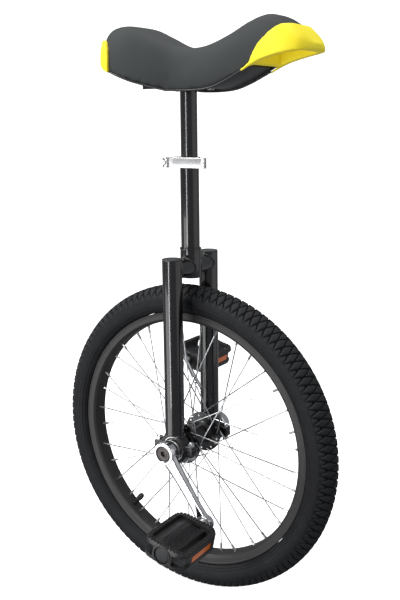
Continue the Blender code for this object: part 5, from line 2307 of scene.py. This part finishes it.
    def make_bumpers(self) -> None:
        """Builds the front bumper, which is hollow below as a hand grip, and the rear bumper."""
        front = self.body(self.proud,
                1.0).keep(self.outline(self.front_line, ((230, 877), (230, 780), (114.5, 780))))
        front.cut(self.hollow(90, 132, 2.0, 70, 1))
        liner = self.hollow(128, 200, 1.5, 25, 10).keep(self.body(0.0, 0.5))
        front.join(liner).cut(self.hollow(132, 197, 9.0, 22, 8))
        self.mould(front, 1.3 * MM).show("front_guard", YELLOW, Body.SEAT, ["front_bumper"], 60)
        rear = self.body(self.proud, 0.6).keep(self.outline(self.rear_line, ((-150, 810),)))
        rear.cut(self.pocket(0.0))
        self.mould(rear, 1.3 * MM).show("rear_guard", YELLOW, Body.SEAT, ["rear_bumper"], 60)

    def make_post(self) -> None:
        """Builds the post with its welded plate."""
        low = self.plate_top - 3 * MM
        corners = [(11.1 * MM, self.post_low, 0.5 * MM), (self.post_radius, self.post_low, 0.5 * MM),
                (self.post_radius, low + MM), (11.1 * MM, low + MM)]
        post = Solid.turned(rounded(corners, steps=3), None, 96)
        plate = Solid.extruded(rounded(rectangle(40 * MM, 24 * MM, 8 * MM), steps=6), low, self.plate_top)
        drill = Solid.rod(3.5 * MM, 0.79, 0.82, at(-self.stud_x, -self.stud_y, 0))
        drill.repeat(BLACK_PAINT, 2, step=(2 * self.stud_x, 0, 0)).repeat(BLACK_PAINT, 2,
                step=(0, 2 * self.stud_y, 0))
        plate.cut(drill).soften(0.5 * MM)
        ring = [Vector((math.cos(TURN * k / 96), math.sin(TURN * k / 96), 0)) * 13.1 * MM for k in range(96)]
        seam = [point + Vector((0, 0, low - 0.5 * MM)) for point in ring]
        post.add(plate, weld(seam, 1.6 * MM, BLACK_PAINT)).show("post_with_plate", BLACK_PAINT, Body.SEAT,
                ["seat_post"])

    def make(self) -> None:
        """Builds the seat."""
        self.make_cushion()
        self.make_base()
        self.make_nuts()
        self.make_bumpers()
        self.make_post()


# Studio


@dataclass
class Studio:
    """A pale sweep, soft lights and the camera."""

    colour: Colour = (0.9, 0.9, 0.9)
    glow: float = 1.0
    level: float = 0.72
    camera: Point = (0.69433, -1.02323)
    height: float = 0.75206
    lens: float = 48.74

    def make_sweep(self) -> None:
        """Builds the floor, which curves up into the backdrop behind the unicycle."""
        back = Vector((-0.54072, 0.81460, 0)).normalized()
        side = Vector((back.y, -back.x, 0))
        profile = rounded([(-6, 0), (3.2, 0, 2.0), (3.2, 5)], False, 24)
        shape = bmesh.new()
        lines = []
        for across in (-7, 7):
            lines.append([shape.verts.new(back * along + side * across + Vector((0, 0, up))) for along,
                    up in profile])
        for index in range(len(profile) - 1):
            shape.faces.new((lines[0][index], lines[1][index], lines[1][index + 1], lines[0][index + 1]))
        sweep = Solid(shape).thing
        sweep.name = "studio_sweep"
        shader = Shader("studio_paper")
        cloud = shader.noise(3, 2)
        dull = tuple(0.985 * part for part in self.colour)
        shader.dress(
            base_color=shader.blend(cloud, self.colour, dull),
            roughness=0.6 + cloud * 0.1,
            emission_color=(*self.colour, 1),
            emission_strength=self.glow,
        )
        sweep.data.materials.append(shader.material)
        sweep.data.shade_smooth()
        sweep.visible_diffuse = False
        sweep.visible_glossy = False

    def light(self, name: str, place: Numbers, target: Numbers, size: Point, power: float) -> None:
        """Adds an area light.

        Args:
            name: its name.
            place: where it is.
            target: the point that it faces.
            size: its width and height.
            power: its power in watts.
        """
        lamp = bpy.data.lights.new(name, "AREA")
        lamp.shape = "RECTANGLE"
        lamp.size, lamp.size_y = size
        lamp.energy = self.level * power
        thing = bpy.data.objects.new(name, lamp)
        thing.location = place
        thing.rotation_euler = (Vector(target) - Vector(place)).to_track_quat("-Z", "Y").to_euler()
        thing.visible_camera = False
        bpy.context.scene.collection.objects.link(thing)

    def make_lights(self) -> None:
        """Adds the world's pale light and the lamps."""
        bpy.context.scene.view_settings.view_transform = "Standard"
        world = bpy.data.worlds.new("studio")
        bpy.context.scene.world = world
        world.use_nodes = True
        background = next(node for node in world.node_tree.nodes if node.type == "BACKGROUND")
        background.inputs["Color"].default_value = (0.93, 0.95, 1.0, 1)
        background.inputs["Strength"].default_value = 0.25
        self.light("strip", (-0.16, -1.6, 0.65), (0, 0, 0.5), (0.16, 1.7), 14)
        self.light("key", (-1.2, -1.2, 2.2), (0, 0, 0.5), (1.0, 1.0), 62)
        self.light("bounce", (-0.6, -1.05, 0.03), (0, 0, 0.35), (1.1, 0.9), 9)
        self.light("fill", (1.9, 0.5, 1.0), (0, 0, 0.45), (2.4, 2.4), 9)
        self.light("top", (0.1, 0.2, 2.5), (0, 0, 0.5), (1.6, 1.2), 36)

    def make_camera(self) -> None:
        """Adds the camera."""
        lens = bpy.data.cameras.new("view")
        lens.lens = self.lens
        lens.sensor_width = 36
        lens.shift_x = 0.0011
        lens.shift_y = -0.0081
        lens.clip_start = 0.05
        camera = bpy.data.objects.new("view", lens)
        right = Vector((0.83444, 0.55099, -0.01123))
        ahead = Vector((-0.54072, 0.81460, -0.20987))
        up = right.cross(ahead).normalized()
        right = ahead.cross(up).normalized()
        turn = Matrix((right, up, -ahead.normalized())).transposed().to_4x4()
        camera.matrix_world = at(*self.camera, self.height) @ turn
        bpy.context.scene.collection.objects.link(camera)
        bpy.context.scene.camera = camera

    def make(self) -> None:
        """Builds the studio."""
        self.make_sweep()
        self.make_lights()
        self.make_camera()


def main() -> None:
    """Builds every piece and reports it."""
    logging.basicConfig(level=logging.INFO, format="%(message)s")
    Studio().make()
    builders = [Tyre(), Rim(), Spokes(), Hub(), Frame(), Clamp()]
    for side in Side:
        crank = Crank(side)
        builders += [crank, Pedal(crank)]
    builders.append(Seat())
    for builder in builders:
        builder.make()
        LOG.info("built %s", type(builder).__name__.lower())


if __name__ == "__main__":
    main()
